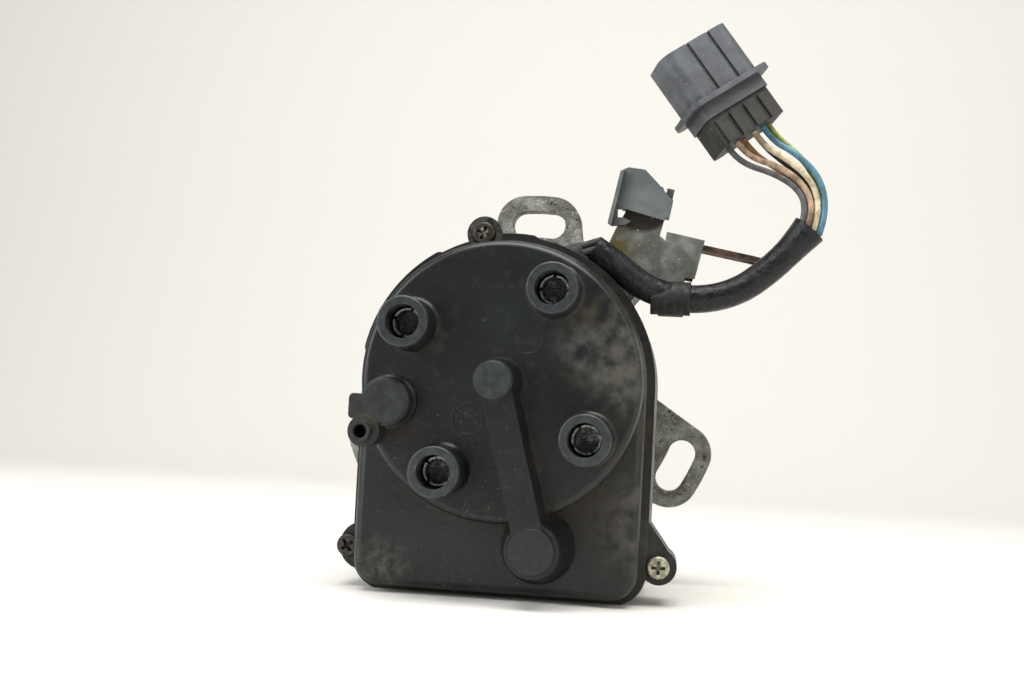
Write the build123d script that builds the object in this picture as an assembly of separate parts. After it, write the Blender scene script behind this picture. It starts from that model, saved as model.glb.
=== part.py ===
from build123d import *
import os
from math import atan2, cos, degrees, hypot, pi, radians, sin, tan

# Ignition distributor with a built-in coil, for a four-cylinder engine.
# The shaft lies along Y: the moulded cap faces -Y, the driving dog faces +Y, Z is up.
# The origin is on the shaft's axis, in the plane of the ears that bolts to the engine.
# All sizes are millimetres.

os.makedirs("parts", exist_ok=True)

# Planes across the shaft, each from the one behind it
EAR_T = 8.0
NECK_L = 16.0
CHAMBER_L = 48.0
LUG_T = 4.0
CAP_RIM_T = 6.0
BOX_RISE = 12.0
DOME_RISE = 7.0
TOWER_H = 17.5
CHANNEL_TOP = 14.0
FLANGE_Y = -EAR_T
CHAMBER_BACK_Y = FLANGE_Y - NECK_L
JOINT_Y = CHAMBER_BACK_Y - CHAMBER_L
RIM_Y = JOINT_Y - CAP_RIM_T
LUG_Y = JOINT_Y - LUG_T
BOX_Y = RIM_Y - BOX_RISE
DOME_Y = BOX_Y - DOME_RISE
TOWER_Y = DOME_Y - TOWER_H
CHANNEL_Y = DOME_Y - CHANNEL_TOP
BITE = 1.0

# Body outline: a half circle over a square-sided box
BODY_R = 51.2
BODY_DROP = 74.0
CORNER_R = 12.0
HOUSING_INSET = 0.5
HOUSING_WALL = 4.3
FRONT_WALL = 3.1
COVER_STEP = 8.0
REAR_WALL = 4.0
BACK_EDGE_R = 3.0
RIM_LANDS = ((83.0, 106.0), (122.0, 168.0))
LAND_RISE = 0.9
LAND_W = 6.0

# Cap fixing lugs and screws
LUG_R = 6.2
LUG_OUT = 3.9
LUG_UP = 13.9
LUG_FLANK = 15.0
LEFT_LUG_OUT = 1.8
LEFT_LUG_UP = 14.6
LEFT_LUG_R = 8.4
LEFT_LUG_SHIFT = 5.0
TOP_LUG_ANGLE = 101.9
TOP_LUG_OUT = 1.7
LUG_DEPTH = 14.0
HOUSING_LUG_INSET = 0.3
SCREW_R = 2.4
SCREW_HEAD_R = 3.9
SCREW_HEAD_H = 2.8
SCREW_L = 11.0
SCREW_PLAY = 0.05
HEAD_CLEAR = 0.4
HEAD_ROUND = 0.3
FERRULE_R = 3.6
FERRULE_PROUD = 0.3
CROSS_W = 1.1
CROSS_L = 4.6
CROSS_DEEP = 1.4

# Cap
CAP_LEDGE = 2.8
CAP_WALL = 2.6
CAP_IN = CAP_LEDGE + CAP_WALL + 0.4
CAP_LIP_H = 2.5
CAP_LIP_PLAY = 0.2
DOME_FOOT_R = BODY_R - CAP_LEDGE
DOME_DRAFT = 1.1
DOME_FACE_R = DOME_FOOT_R - DOME_DRAFT
DOME_EDGE_R = 2.6
BOX_EDGE_R = 3.2
TOWER_RING_R = 35.3
TOWER_FIRST = 60.0
TOWER_COUNT = 4
TOWER_R = 8.5
TOWER_WALL = 2.9
TOWER_BORE_R = TOWER_R - TOWER_WALL
TOWER_FOOT_R = 0.9
TOWER_RIM_R = 0.8
ELECTRODE_R = 2.6
ELECTRODE_DROP = 14.0
CUP_PLAY = 0.7
CUP_R = TOWER_BORE_R - CUP_PLAY
CUP_WALL = 0.7
CUP_H = 8.0
CUP_FLOOR_H = 2.0
CUP_SLOT = 1.0
CUP_TURN = 20.0
CUP_Y = DOME_Y - 0.5
INNER_BOSS_R = 5.0
INNER_BOSS_H = 5.5
CENTRE_BOSS_R = 6.5
CENTRE_BOSS_FLARE = 1.7
CHANNEL_W = 10.0
CHANNEL_DRAFT = 4.0
LOWER_BOSS_R = 12.75
LOWER_RING_R = 9.0
LOWER_DISC_R = 7.35
LOWER_DISC_H = 0.6
STRIP_W = 3.0
STRIP_T = 1.5
STRIP_DEEP = 6.0
STRIP_Y = CHANNEL_Y + STRIP_DEEP
MARKS = ((-10.1, -13.2, 4.8), (8.4, 15.1, 5.2), (-6.3, 21.5, 1.3))
MARK_DEEP = 0.35
SEAL_W = 1.0
SEAL_T = 1.6
SEAL_INSET = 2.1

# Breather elbow on the cap, with its hose nipple placed from the boss
VENT_X = -(BODY_R - 14.8)
VENT_Z = -8.6
VENT_R = 8.2
VENT_EDGE = 1.1
VENT_FOOT_R = 9.2
VENT_STUB_H = 2.0
VENT_H = 9.0
VENT_BORE_R = 2.25
HOOD_REACH = 11.8
HOOD_W = 8.4
HOOD_SHIFT = -2.0
HOOD_ROUND = 1.6
NIPPLE_X = VENT_X - 6.3
NIPPLE_Z = VENT_Z - 10.1
NIPPLE_R = 3.4
NIPPLE_L = 14.5
NIPPLE_COLLAR_R = 5.3
NIPPLE_COLLAR_PROUD = 0.4
NIPPLE_WEB_DOWN = 3.6

# Mounting ears with their arc slots, and the spigot
SLOT_RING_R = 64.8
SLOT_W = 10.5
SLOT_TRAVEL = 10.7
EAR_RIM = 6.2
EAR_ANGLES = (90.0, -25.5, 205.5)
EAR_FLARE = 5.5
FLANGE_R = 36.0
NECK_FRONT_R = FLANGE_R - 2.0
NECK_BACK_R = FLANGE_R - 6.0
GUSSET_T = 5.0
GUSSET_RISE = 12.0
GUSSET_CLEAR = 7.5
SPIGOT_R = 16.0
SPIGOT_L = 14.0
GROOVE_Y = 3.5
GROOVE_W = 3.6
GROOVE_DEEP = 2.4
O_RING_R = 1.6

# Shaft, bearings and what turns
SHAFT_R = 6.0
NOSE_R = SHAFT_R - 2.0
NOSE_L = 12.0
NOSE_FLAT = 0.8
FLAT_L = 8.0
RUN_FIT = 0.05
SHAFT_COLLAR_R = SHAFT_R + 2.2
SHAFT_COLLAR_T = 3.0
BEARING_R = SHAFT_R + 8.0
BEARING_T = 8.0
RACE_T = 2.1
BALL_RING_R = (BEARING_R + SHAFT_R) / 2
BALL_R = 2.35
BALL_COUNT = 8
BALL_PLAY = 0.12
CAGE_T = 6.6
CAGE_PLAY = 0.35
POCKET_PLAY = 0.08
BEARING_BOSS_R = BEARING_R + 5.0
RETAINER_T = 1.5
SEAL_R = SHAFT_R + 6.0
SEAL_L = 7.0
SEAL_LIP = 0.03
BUSH_R = SHAFT_R + 2.0
BUSH_L = 15.0
BUSH_IN = 0.5
COUPLING_R = SHAFT_R + 6.5
COUPLING_HUB_L = 12.5
COUPLING_GAP = 1.2
COUPLING_PLAY = 0.4
COUPLING_END = 3.0
SHAFT_TIP_GAP = 0.6
DOG_W = 7.0
DOG_H = 5.0
DOG_SHIFT = 1.5
PIN_R = 2.0
PIN_INSET = 0.4
RING_WIRE = 1.0
RING_ARC = 330.0
CRANK_WHEEL_R = 16.5
CRANK_TEETH = 24
WHEEL_T = 4.0
WHEEL_HUB_R = SHAFT_R + 3.0
WHEEL_HUB_L = 8.0
TOOTH_H = 2.2
STROKE_TEETH = 4
STROKE_WHEEL_R = CRANK_WHEEL_R - 1.5
STROKE_TOOTH_H = 4.0
STROKE_TOOTH_W = 4.0
AIR_GAP = 0.6

# Rotor, brush and spring
SPARK_GAP = 0.9
CONTACT_TIP_R = TOWER_RING_R - ELECTRODE_R - SPARK_GAP
CONTACT_T = 1.2
CONTACT_W = 7.0
CONTACT_OVER = 2.8
CONTACT_CLEAR = 0.8
ROTOR_HUB_R = SHAFT_R + 4.0
ROTOR_HUB_L = 14.0
ROTOR_T = 4.2
ROTOR_REACH = CONTACT_TIP_R - CONTACT_OVER
ROTOR_TAIL = 17.0
ROTOR_ARM_W = 13.0
ROTOR_SCREW_R = 2.0
ROTOR_SCREW_AT = 5.0
BRUSH_R = 2.0
BRUSH_L = 9.0
BRUSH_PLAY = 0.05
BRUSH_LIFT = 0.3
SPRING_WIRE = 0.3
SPRING_TURNS = 5
SPRING_PLAY = 0.1

# Igniter module on the chamber's flat side
MODULE_H = 36.0
MODULE_T = 8.0
MODULE_Z = -22.0
MODULE_BACK = 3.0
MODULE_FRONT = 3.0
MODULE_SIDE = 2.0
MODULE_END = 8.0
MODULE_CLEAR = 1.9
MODULE_BLADES = 5
BLADE_T = 0.8
BLADE_W = 2.5
BLADE_PITCH = 4.0
BLADE_OUT = 3.5
SINK_T = 2.5
MODULE_X = -(BODY_R - HOUSING_INSET - HOUSING_WALL)
MODULE_SCREW_END = 4.0
MODULE_SCREW_BITE = 2.6

# Sensor plate and the two pick-ups
POST_R = 3.5
PLATE_T = 1.5
PLATE_IN_R = CRANK_WHEEL_R + 4.0
PLATE_OUT_R = -MODULE_X - SINK_T - MODULE_T - MODULE_CLEAR
POST_RING_R = PLATE_OUT_R - 4.0
POST_ANGLES = (90.0, 205.0, 335.0)
POST_SCREW_DEEP = 8.0
SENSOR_W = 14.0
SENSOR_IN_R = CRANK_WHEEL_R + 3.5
SENSOR_L = PLATE_OUT_R - SENSOR_IN_R - 2.0
SENSOR_EAR = 5.5
SENSOR_EAR_T = 3.0
CRANK_SENSOR_ANGLE = 35.0
STROKE_SENSOR_ANGLE = 145.0
POLE_W = 4.0
POLE_T = 3.0
M3_R = 1.5
M3_HEAD_R = 2.6
M3_HEAD_H = 1.6
M3_L = 7.0
M4_R = 2.0
M4_HEAD_R = 3.3
M4_HEAD_H = 2.2
SCREW_TURN = 35.0

# Coil in the lower half of the chamber, with its tower under the cap's lower boss
COIL_SIDE = 15.0
COIL_LIFT = 19.7
COIL_DROP = BODY_DROP - COIL_LIFT
COIL_W = 52.0
COIL_TOP = PLATE_OUT_R + 5.0
COIL_FOOT = BODY_DROP - HOUSING_INSET - HOUSING_WALL - 2.2
COIL_CORE_H = COIL_FOOT - COIL_TOP
COIL_CORE_T = 12.0
COIL_LIMB = 9.0
COIL_BODY_W = 33.0
COIL_BODY_H = COIL_CORE_H - 2.0
COIL_ROUND = 3.0
COIL_TOWER_R = 5.4
COIL_STEP = 1.5
COIL_STEP_H = 3.0
COIL_POST_L = 8.0
COIL_BODY_BACK = 2.0
COIL_CLEAR = 4.0
COIL_TIP_CLEAR = 6.0
COIL_POST_R = POST_R + 0.5
COIL_BUTTON_R = 2.6
COIL_PAD_R = 4.0
COIL_PAD_T = 1.5
SOCKET_R = COIL_TOWER_R + 0.6

# Leak cover behind the rotor
COVER_T = 2.0
COVER_PLAY = 0.3
COVER_HOLE_R = SHAFT_R + 6.5
COVER_COLLAR = 2.0

# Depths inside the housing
FLOOR_Y = CHAMBER_BACK_Y - REAR_WALL
COVER_BACK_Y = JOINT_Y + COVER_STEP
BEARING_BACK_Y = FLOOR_Y - 1.0
BEARING_FRONT_Y = BEARING_BACK_Y - BEARING_T
SEAL_BACK_Y = -2.0
PLATE_Y = BEARING_FRONT_Y - RETAINER_T - 2.0
CRANK_HUB_Y = BEARING_FRONT_Y - SHAFT_COLLAR_T
STROKE_HUB_Y = CRANK_HUB_Y - WHEEL_HUB_L
CRANK_Y = CRANK_HUB_Y - WHEEL_HUB_L / 2
STROKE_Y = STROKE_HUB_Y - WHEEL_HUB_L / 2
CAP_INNER_Y = DOME_Y + CAP_WALL
ROTOR_FACE_Y = CAP_INNER_Y + INNER_BOSS_H + CONTACT_CLEAR + CONTACT_T
SHAFT_END_Y = ROTOR_FACE_Y + ROTOR_T
BRUSH_Y = ROTOR_FACE_Y - CONTACT_T - BRUSH_LIFT
COIL_SEAT_Y = FLOOR_Y - COIL_POST_L
COIL_FACE_Y = COVER_BACK_Y + COIL_CLEAR
COIL_BODY_T = COIL_SEAT_Y + COIL_BODY_BACK - COIL_FACE_Y
COIL_TIP_Y = BOX_Y + COIL_TIP_CLEAR
MODULE_W = FLOOR_Y - MODULE_BACK - COVER_BACK_Y - MODULE_FRONT
MODULE_Y = FLOOR_Y - MODULE_BACK - MODULE_W / 2
COUPLING_Y = SPIGOT_L + COUPLING_GAP
COUPLING_END_Y = COUPLING_Y + COUPLING_HUB_L
PIN_Y = COUPLING_Y + COUPLING_HUB_L / 2

# Bracket on its pad; the plate's points are counted from the pad's middle
PAD_ANGLE = 50.0
PAD_RISE = 2.8
PAD_R = BODY_R + PAD_RISE
PAD_DEEP = PAD_RISE + HOUSING_INSET + HOUSING_WALL + 0.4
PAD_W = 20.0
PAD_L = 26.0
PAD_FRONT = 2.0
BRACKET_T = 2.0
BRACKET_Y = -50.0
FOOT_W = 17.0
FOOT_L = 24.0
PLATE_EDGE = (
    (-6.4, 5.5), (-3.7, 12.1), (-2.0, 16.1), (14.3, 15.6), (16.7, 13.6), (17.1, 16.9),
    (30.9, 14.2), (27.9, 0.2), (11.5, 0.2), (11.5, -4.0), (6.7, -5.3),
)
TONGUE_AT = (7.3, 13.6)
TONGUE_LEAN = 10.0
TONGUE_EDGE = (
    (-9.5, -8.0), (6.6, -8.0), (6.6, 1.0), (7.1, 8.0), (7.1, 16.4), (4.0, 20.6),
    (-7.2, 20.6), (-7.2, 9.0), (-9.5, 1.4),
)
TAB_X = 19.8
TAB_W = 9.0
TAB_TOP = 2.2
TAB_DROP = -13.9
STAY_T = 2.0
STAY_W = 11.0
STAY_FROM = (19.3, 12.8)
STAY_TO = (47.8, 7.6)
STAY_HOLE_R = 3.1
STAY_LEG = 12.0
STAY_LEG_W = 10.0
BOLT_R = 2.4
BOLT_HEAD_R = 4.5
BOLT_HEAD_H = 3.4
BOLT_L = 9.0
BOLTS_BACK = (9.0, 19.0)

# Connector clip on the tongue, in the tongue's own directions
HOLDER_T = 2.2
HOLDER_FLANGE = 5.0
HOLDER_EDGE = (
    (-11.6, 23.3), (-9.6, 24.8), (-3.4, 25.2), (2.4, 21.1), (8.0, 16.7), (7.35, 8.4), (-7.4, 9.7),
    (-10.1, 9.1), (-9.4, 6.1), (-7.4, 6.5), (-4.4, 5.7), (-6.2, 3.9), (-10.8, 2.7), (-12.3, 3.2),
)
HOLDER_LIP = ((-11.9, 22.6), (-10.5, 23.2), (-10.9, 2.7), (-12.3, 3.2))
CLIP_MID = (-0.05, 13.1)
CLIP_W = 17.5
CLIP_H = 7.0
CLIP_WALL = 1.4
NUB_AT = (7.0, 18.6)
NUB_SIZE = (2.6, 4.4)

# Harness
SLEEVE_D = 10.0
WIRE_D = 2.2
WIRE_GAP = 0.45
SEAT_GAP = 0.03
TAPE_T = 1.0
TAPE_L = 14.0
TAPE_SAG = 0.2
GROMMET_ANGLE = 68.0
GROMMET_W = 13.0
GROMMET_H = 6.5
GROMMET_DEEP = 14.0
GROMMET_IN = 1.25
NOZZLE_ANGLE = 70.0
NOZZLE_SINK = 2.2
NOZZLE_Y = JOINT_Y + 7.5
NOZZLE_R = 3.6
NOZZLE_L = 6.5
CORE_R = 1.5
CORE_RING_R = 1.8
CORE_COUNT = 3
SLEEVE_ROUTE = [
    (26.6, -64.5, 49.4), (33.6, -63.2, 45.1), (43.4, -60.0, 37.4), (54.8, -57.6, 33.6), (66.9, -56.9, 33.4),
    (78.9, -56.9, 37.2), (89.0, -56.9, 45.2), (96.4, -56.9, 53.0), (102.0, -56.9, 60.0),
]

# Wires: place in the sleeve's end (across, back), turns, place in the connector (across, back)
WIRES = {
    "wire_grey": (-3.7, -1.3, [(100.5, -58.2, 67.8), (97.3, -58.2, 74.3), (88.9, -58.8, 79.2)], -9.6, -1.2),
    "wire_tan": (-1.2, -1.3, [(103.0, -58.2, 67.2), (99.8, -58.2, 75.4), (90.9, -58.4, 81.9)], -5.6, -1.2),
    "wire_cream": (1.4, -1.3, [(105.4, -58.2, 66.4), (102.4, -58.2, 77.2), (92.9, -58.2, 84.9)], 2.2, -1.2),
    "wire_blue": (3.9, -1.3, [(107.8, -58.2, 65.7), (105.0, -58.2, 78.8), (95.2, -57.6, 87.5)], 6.2, -1.2),
    "wire_orange": (-2.5, 1.3, [(101.6, -55.6, 67.2), (98.4, -55.6, 75.0), (90.6, -55.6, 81.2)], -1.6, 1.5),
    "wire_black": (0.1, 1.3, [(104.1, -55.6, 66.6), (101.0, -55.6, 76.6), (92.6, -55.2, 83.8)], 3.6, 1.5),
    "wire_green": (2.7, 1.3, [(106.5, -55.6, 65.9), (103.9, -55.6, 78.6), (95.9, -54.6, 88.4)], 9.6, 1.0),
}
WIRE_LAST = 6.6

# Connector
CONNECTOR_AT = (79.25, -56.9, 92.65)
CONNECTOR_LEAN = 37.2
CONNECTOR_TWIST = 20.0
REAR_W = 26.5
REAR_T = 16.0
REAR_L = 11.0
REAR_ROUND = 1.5
REAR_RIBS = 4
REAR_RIB = 0.8
REAR_RIB_W = 4.2
REAR_RIB_PITCH = 6.4
NECK_W = 28.0
NECK_T = 17.5
NECK_ROUND = 2.0
MID_L = 5.0
COLLAR_OVER = 2.6
COLLAR_T = 2.0
COLLAR_ROUND = 4.0
SHROUD_W = 30.0
SHROUD_T = 18.5
SHROUD_L = 20.5
SHROUD_WALL = 1.6
SHROUD_CORNER = 5.0
SHROUD_FLOOR = 1.5
SHROUD_LINING = 0.5
KEY_W = 1.4
KEY_SIDE = 4.6
KEY_SHIFT = 1.0
PIN_PITCH = 4.4
PIN_ROWS = 2.4
PIN_COLUMNS = 4
PIN_W = 1.2
PIN_T = 0.72
PIN_OUT = 8.0


def front(y, x=0.0, z=0.0, turn=0.0):
    """Plane across the shaft at depth y, seen from the cap: right, up, and out towards the cap."""
    a = radians(turn)
    return Plane(origin=(x, y, z), x_dir=(cos(a), 0, sin(a)), z_dir=(0, -1, 0))


def outward(angle, r=0.0, y=0.0):
    """Plane that faces out from the shaft at that angle and radius, with its first direction along +Y."""
    a = radians(angle)
    return Plane(origin=(r * cos(a), y, r * sin(a)), x_dir=(0, 1, 0), z_dir=(cos(a), 0, sin(a)))


def poly(*points):
    """Flat face through the points, whichever way round they are given."""
    area = sum(a[0] * b[1] - b[0] * a[1] for a, b in zip(points, points[1:] + points[:1]))
    return Polygon(*(points if area > 0 else points[::-1]), align=None)


def disc(r, back, face, x=0.0, z=0.0):
    """Round bar along the shaft from depth back to depth face."""
    return extrude(front(back, x, z) * Circle(r), back - face)


def ring(r, bore, back, face, x=0.0, z=0.0):
    return extrude(front(back, x, z) * (Circle(r) - Circle(bore)), back - face)


def turned(points, x=0.0, z=0.0):
    """Solid of revolution about a line along Y, from points (radius, depth)."""
    return Pos(x, 0, z) * revolve(poly(*points), Axis.Y)


def front_edge(solid):
    """The round edge of a turned solid that lies nearest the viewer."""
    return solid.edges().filter_by(GeomType.CIRCLE).sort_by(Axis.Y)[0]


def radial_bar(r, r_in, r_out, angle, y):
    """Round bar pointing out from the shaft, between two radii."""
    return extrude(outward(angle, r_in, y) * Circle(r), r_out - r_in)


def on_ring(r, angle):
    return r * cos(radians(angle)), r * sin(radians(angle))


def outline(inset):
    """Outline of the body, drawn inset from the cap's rim."""
    r = BODY_R - inset
    drop = BODY_DROP - inset
    shape = Circle(r) + Pos(0, -drop / 2) * Rectangle(2 * r, drop)
    corners = shape.vertices().sort_by(Axis.Y)[:2]
    return fillet(corners, max(CORNER_R - inset, 1.0))


def lug_spots():
    """Screws of the cap: lower right, lower left and top."""
    right = (BODY_R + LUG_OUT, LUG_UP - BODY_DROP)
    left = (-BODY_R - LEFT_LUG_OUT, LEFT_LUG_UP - BODY_DROP)
    return [right, left, on_ring(BODY_R + TOP_LUG_OUT, TOP_LUG_ANGLE)]


def lug_outline(inset):
    """The three fixing lugs: a sloping flank above the right one, a plain disc at the left."""
    right, left, top = lug_spots()
    r = LUG_R - inset
    wall = BODY_R - inset
    tip = (right[0] + r * cos(radians(15)), right[1] + r * sin(radians(15)))
    top_z = right[1] + LUG_FLANK
    flank = poly((wall - BITE, top_z), (wall, top_z), tip, (wall - BITE, right[1]))
    shape = Pos(*right) * Circle(r) + flank + Pos(*top) * Circle(r)
    return shape + Pos(left[0] + LEFT_LUG_SHIFT, left[1]) * Circle(LEFT_LUG_R - inset)


def towers():
    step = 360.0 / TOWER_COUNT
    return [on_ring(TOWER_RING_R, TOWER_FIRST + i * step) for i in range(TOWER_COUNT)]


def save(node, *solids):
    shape = solids[0] if len(solids) == 1 else Compound(list(solids))
    export_step(shape, f"parts/{node}.step")


def channel_plane(y):
    """Plane at depth y half way from the middle boss to the lower one, turned along the channel."""
    return front(y, COIL_SIDE / 2, -COIL_DROP / 2, degrees(atan2(-COIL_DROP, COIL_SIDE)))


def channel():
    """Raised channel on the cap's face, from the middle boss to the lower one."""
    base = BOX_Y + BITE
    rise = base - CHANNEL_Y
    wide = CHANNEL_W + 2 * rise * tan(radians(CHANNEL_DRAFT))
    slot = SlotCenterToCenter(hypot(COIL_SIDE, COIL_DROP), wide)
    return extrude(channel_plane(base) * slot, rise, taper=CHANNEL_DRAFT)


def cap_shell():
    """Rim with its lands and lugs, the box above it and the dome over the rotor."""
    body = extrude(front(JOINT_Y) * outline(0), CAP_RIM_T)
    for start, end in RIM_LANDS:
        arc = CenterArc((0, 0), BODY_R + LAND_RISE - LAND_W / 2, start, end - start)
        body += extrude(front(JOINT_Y) * SlotArc(arc, LAND_W), CAP_RIM_T)
    body += extrude(front(JOINT_Y) * lug_outline(0), LUG_T)
    box = extrude(front(JOINT_Y - BITE) * outline(CAP_LEDGE), BOX_RISE + CAP_RIM_T - BITE)
    box = fillet(box.faces().sort_by(Axis.Y)[0].edges(), BOX_EDGE_R)
    foot = JOINT_Y - BITE
    dome = turned([(0, foot), (DOME_FOOT_R, foot), (DOME_FOOT_R, RIM_Y), (DOME_FACE_R, DOME_Y), (0, DOME_Y)])
    return body + box + fillet(front_edge(dome), DOME_EDGE_R)


def lead_tower(x, z):
    """Round tower for a lead, with a rounded rim and a small flare at its foot."""
    back = DOME_Y + BITE
    foot_r = TOWER_R + TOWER_FOOT_R
    flare_y = DOME_Y - TOWER_FOOT_R
    flare = [(0, back), (foot_r, back), (foot_r, DOME_Y), (TOWER_R, flare_y), (0, flare_y)]
    tower = disc(TOWER_R, back, TOWER_Y, x, z)
    return fillet(front_edge(tower), TOWER_RIM_R) + turned(flare, x, z)


def centre_boss():
    back = DOME_Y + BITE
    wide = CENTRE_BOSS_R + CENTRE_BOSS_FLARE
    return turned([
        (0, back), (wide, back), (wide - BITE, DOME_Y - 3 * BITE), (CENTRE_BOSS_R, TOWER_Y + BITE),
        (CENTRE_BOSS_R - VENT_EDGE / 2, TOWER_Y), (0, TOWER_Y),
    ])


def lower_boss():
    """Stepped boss over the coil's tower, with a raised round panel."""
    back = BOX_Y + BITE
    panel = CHANNEL_Y - LOWER_DISC_H
    ring_y = CHANNEL_Y + 2 * LOWER_DISC_H
    return turned([
        (0, back), (LOWER_BOSS_R, back), (LOWER_BOSS_R, BOX_Y),
        (LOWER_RING_R + LOWER_DISC_H, DOME_Y - 2 * BITE), (LOWER_RING_R, ring_y),
        (LOWER_DISC_R, ring_y), (LOWER_DISC_R, panel), (0, panel),
    ], COIL_SIDE, -COIL_DROP)


def cap_hollow():
    """Space inside the cap: the box, and the dome's round room for the rotor."""
    lip_end = JOINT_Y + CAP_LIP_H
    hollow = extrude(front(lip_end) * outline(CAP_IN), lip_end - BOX_Y - CAP_WALL)
    return hollow + disc(DOME_FACE_R - CAP_WALL - CUP_PLAY, BOX_Y + CAP_WALL + BITE, CAP_INNER_Y)


def cap():
    body = cap_shell() + channel() + centre_boss() + lower_boss()
    for x, z in towers():
        body += lead_tower(x, z)
    body += disc(VENT_FOOT_R, DOME_Y + BITE, DOME_Y - VENT_STUB_H, VENT_X, VENT_Z)
    lip = outline(FRONT_WALL + HOUSING_INSET + CAP_LIP_PLAY)
    body += extrude(front(JOINT_Y + CAP_LIP_H) * lip, CAP_LIP_H + BITE)
    body -= cap_hollow()
    boss_y = CAP_INNER_Y + INNER_BOSS_H
    for x, z in towers():
        body += disc(INNER_BOSS_R, boss_y, CAP_INNER_Y - BITE, x, z)
        body -= disc(TOWER_BORE_R, CUP_Y, TOWER_Y - BITE, x, z)
        body -= disc(ELECTRODE_R, boss_y + BITE, CUP_Y - BITE, x, z)
    body -= disc(BRUSH_R + BRUSH_PLAY, CAP_INNER_Y + BITE, STRIP_Y - STRIP_T)
    body -= disc(SOCKET_R, BOX_Y + CAP_WALL + BITE, STRIP_Y, COIL_SIDE, -COIL_DROP)
    body -= strip()
    body -= disc(VENT_BORE_R, CAP_INNER_Y + BITE, DOME_Y - VENT_STUB_H - BITE, VENT_X, VENT_Z)
    for x, z, r in MARKS:
        body -= disc(r, DOME_Y + MARK_DEEP, DOME_Y - BITE, x, z)
    body -= extrude(front(JOINT_Y) * seal_shape(), SEAL_T)
    for x, z in lug_spots():
        body -= disc(FERRULE_R, JOINT_Y + BITE, LUG_Y - BITE, x, z)
        body -= disc(SCREW_HEAD_R + HEAD_CLEAR, LUG_Y, BOX_Y, x, z)
    return body


def strip():
    """Metal strip moulded into the channel, from the coil's socket to the brush's bore."""
    length = hypot(COIL_SIDE, COIL_DROP) + 2 * BRUSH_R
    return extrude(channel_plane(STRIP_Y) * Rectangle(length, STRIP_W), STRIP_T)


def tower_terminals():
    """Electrode and slotted spring cup of each tower, pressed through the cap's face."""
    cups = []
    for i, (x, z) in enumerate(towers()):
        cup = ring(CUP_R, CUP_R - CUP_WALL, CUP_Y, CUP_Y - CUP_H, x, z)
        cup += disc(CUP_R, CUP_Y, CUP_Y - CUP_WALL, x, z)
        slot = Box(2 * CUP_R + BITE, CUP_H - CUP_FLOOR_H, CUP_SLOT)
        for turn in (0, 90):
            cup -= Pos(x, CUP_Y - CUP_H / 2 - CUP_FLOOR_H, z) * Rot(0, turn + CUP_TURN * i, 0) * slot
        cup += disc(ELECTRODE_R, CAP_INNER_Y + ELECTRODE_DROP, CUP_Y, x, z)
        cups.append(cup)
    return cups


def seal_shape():
    return outline(SEAL_INSET) - outline(SEAL_INSET + SEAL_W)


def cap_seal():
    return extrude(front(JOINT_Y) * seal_shape(), SEAL_T)


def cap_ferrules():
    bore = SCREW_R + SCREW_PLAY
    return [ring(FERRULE_R, bore, JOINT_Y, LUG_Y - FERRULE_PROUD, x, z) for x, z in lug_spots()]


def cross_screw(r, head_r, head_h, length, seat, x, z, turn=0.0):
    """Pan-head cross screw whose head seats at depth seat and whose shank runs back."""
    head = disc(head_r, seat, seat - head_h, x, z)
    screw = fillet(front_edge(head), head_h * HEAD_ROUND)
    screw += disc(r, seat + length, seat - head_h / 2, x, z)
    scale = head_r / SCREW_HEAD_R
    floor = seat - head_h + CROSS_DEEP * scale
    for angle in (turn, turn + 90):
        blade = Rectangle(CROSS_L * scale, CROSS_W * scale)
        screw -= extrude(front(floor, x, z, angle) * blade, 2 * CROSS_DEEP)
    return screw


def screws_at(spots, r, head_r, head_h, length, seat):
    screws = []
    for i, (x, z) in enumerate(spots):
        screws.append(cross_screw(r, head_r, head_h, length, seat, x, z, SCREW_TURN * i))
    return screws


def cap_screws():
    return screws_at(lug_spots(), SCREW_R, SCREW_HEAD_R, SCREW_HEAD_H, SCREW_L, LUG_Y - FERRULE_PROUD)


def breather_elbow():
    """Boss with a bevelled flat top, a hood that reaches out to its left and a hose nipple under the hood."""
    foot = DOME_Y - VENT_STUB_H
    top = foot - VENT_H
    flat_r = VENT_R - VENT_EDGE
    boss = [
        (0, foot), (VENT_FOOT_R, foot), (VENT_R, foot - BITE), (VENT_R, top + VENT_EDGE),
        (flat_r, top), (0, top),
    ]
    hood = Pos(-HOOD_REACH / 2, HOOD_SHIFT) * RectangleRounded(HOOD_REACH, HOOD_W, HOOD_ROUND)
    body = turned(boss, VENT_X, VENT_Z) + extrude(front(foot, VENT_X, VENT_Z) * hood, foot - top)
    web_top = top + NIPPLE_WEB_DOWN
    dx, dz = NIPPLE_X - VENT_X, NIPPLE_Z - VENT_Z
    web = SlotCenterToCenter(hypot(dx, dz), 2 * NIPPLE_R)
    between = front(foot, VENT_X + dx / 2, VENT_Z + dz / 2, degrees(atan2(dz, dx)))
    body += extrude(between * web, foot - web_top)
    body += disc(NIPPLE_COLLAR_R, foot, top - NIPPLE_COLLAR_PROUD, NIPPLE_X, NIPPLE_Z)
    body += disc(NIPPLE_R, foot, foot - NIPPLE_L, NIPPLE_X, NIPPLE_Z)
    body -= disc(VENT_BORE_R, foot - 3 * BITE, foot - NIPPLE_L - BITE, NIPPLE_X, NIPPLE_Z)
    body -= disc(VENT_BORE_R, foot + BITE, foot - 5 * BITE, VENT_X, VENT_Z)
    return body


def slot_arc(angle, wide):
    arc = degrees(SLOT_TRAVEL / SLOT_RING_R)
    return SlotArc(CenterArc((0, 0), SLOT_RING_R, angle - arc / 2, arc), wide)


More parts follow.
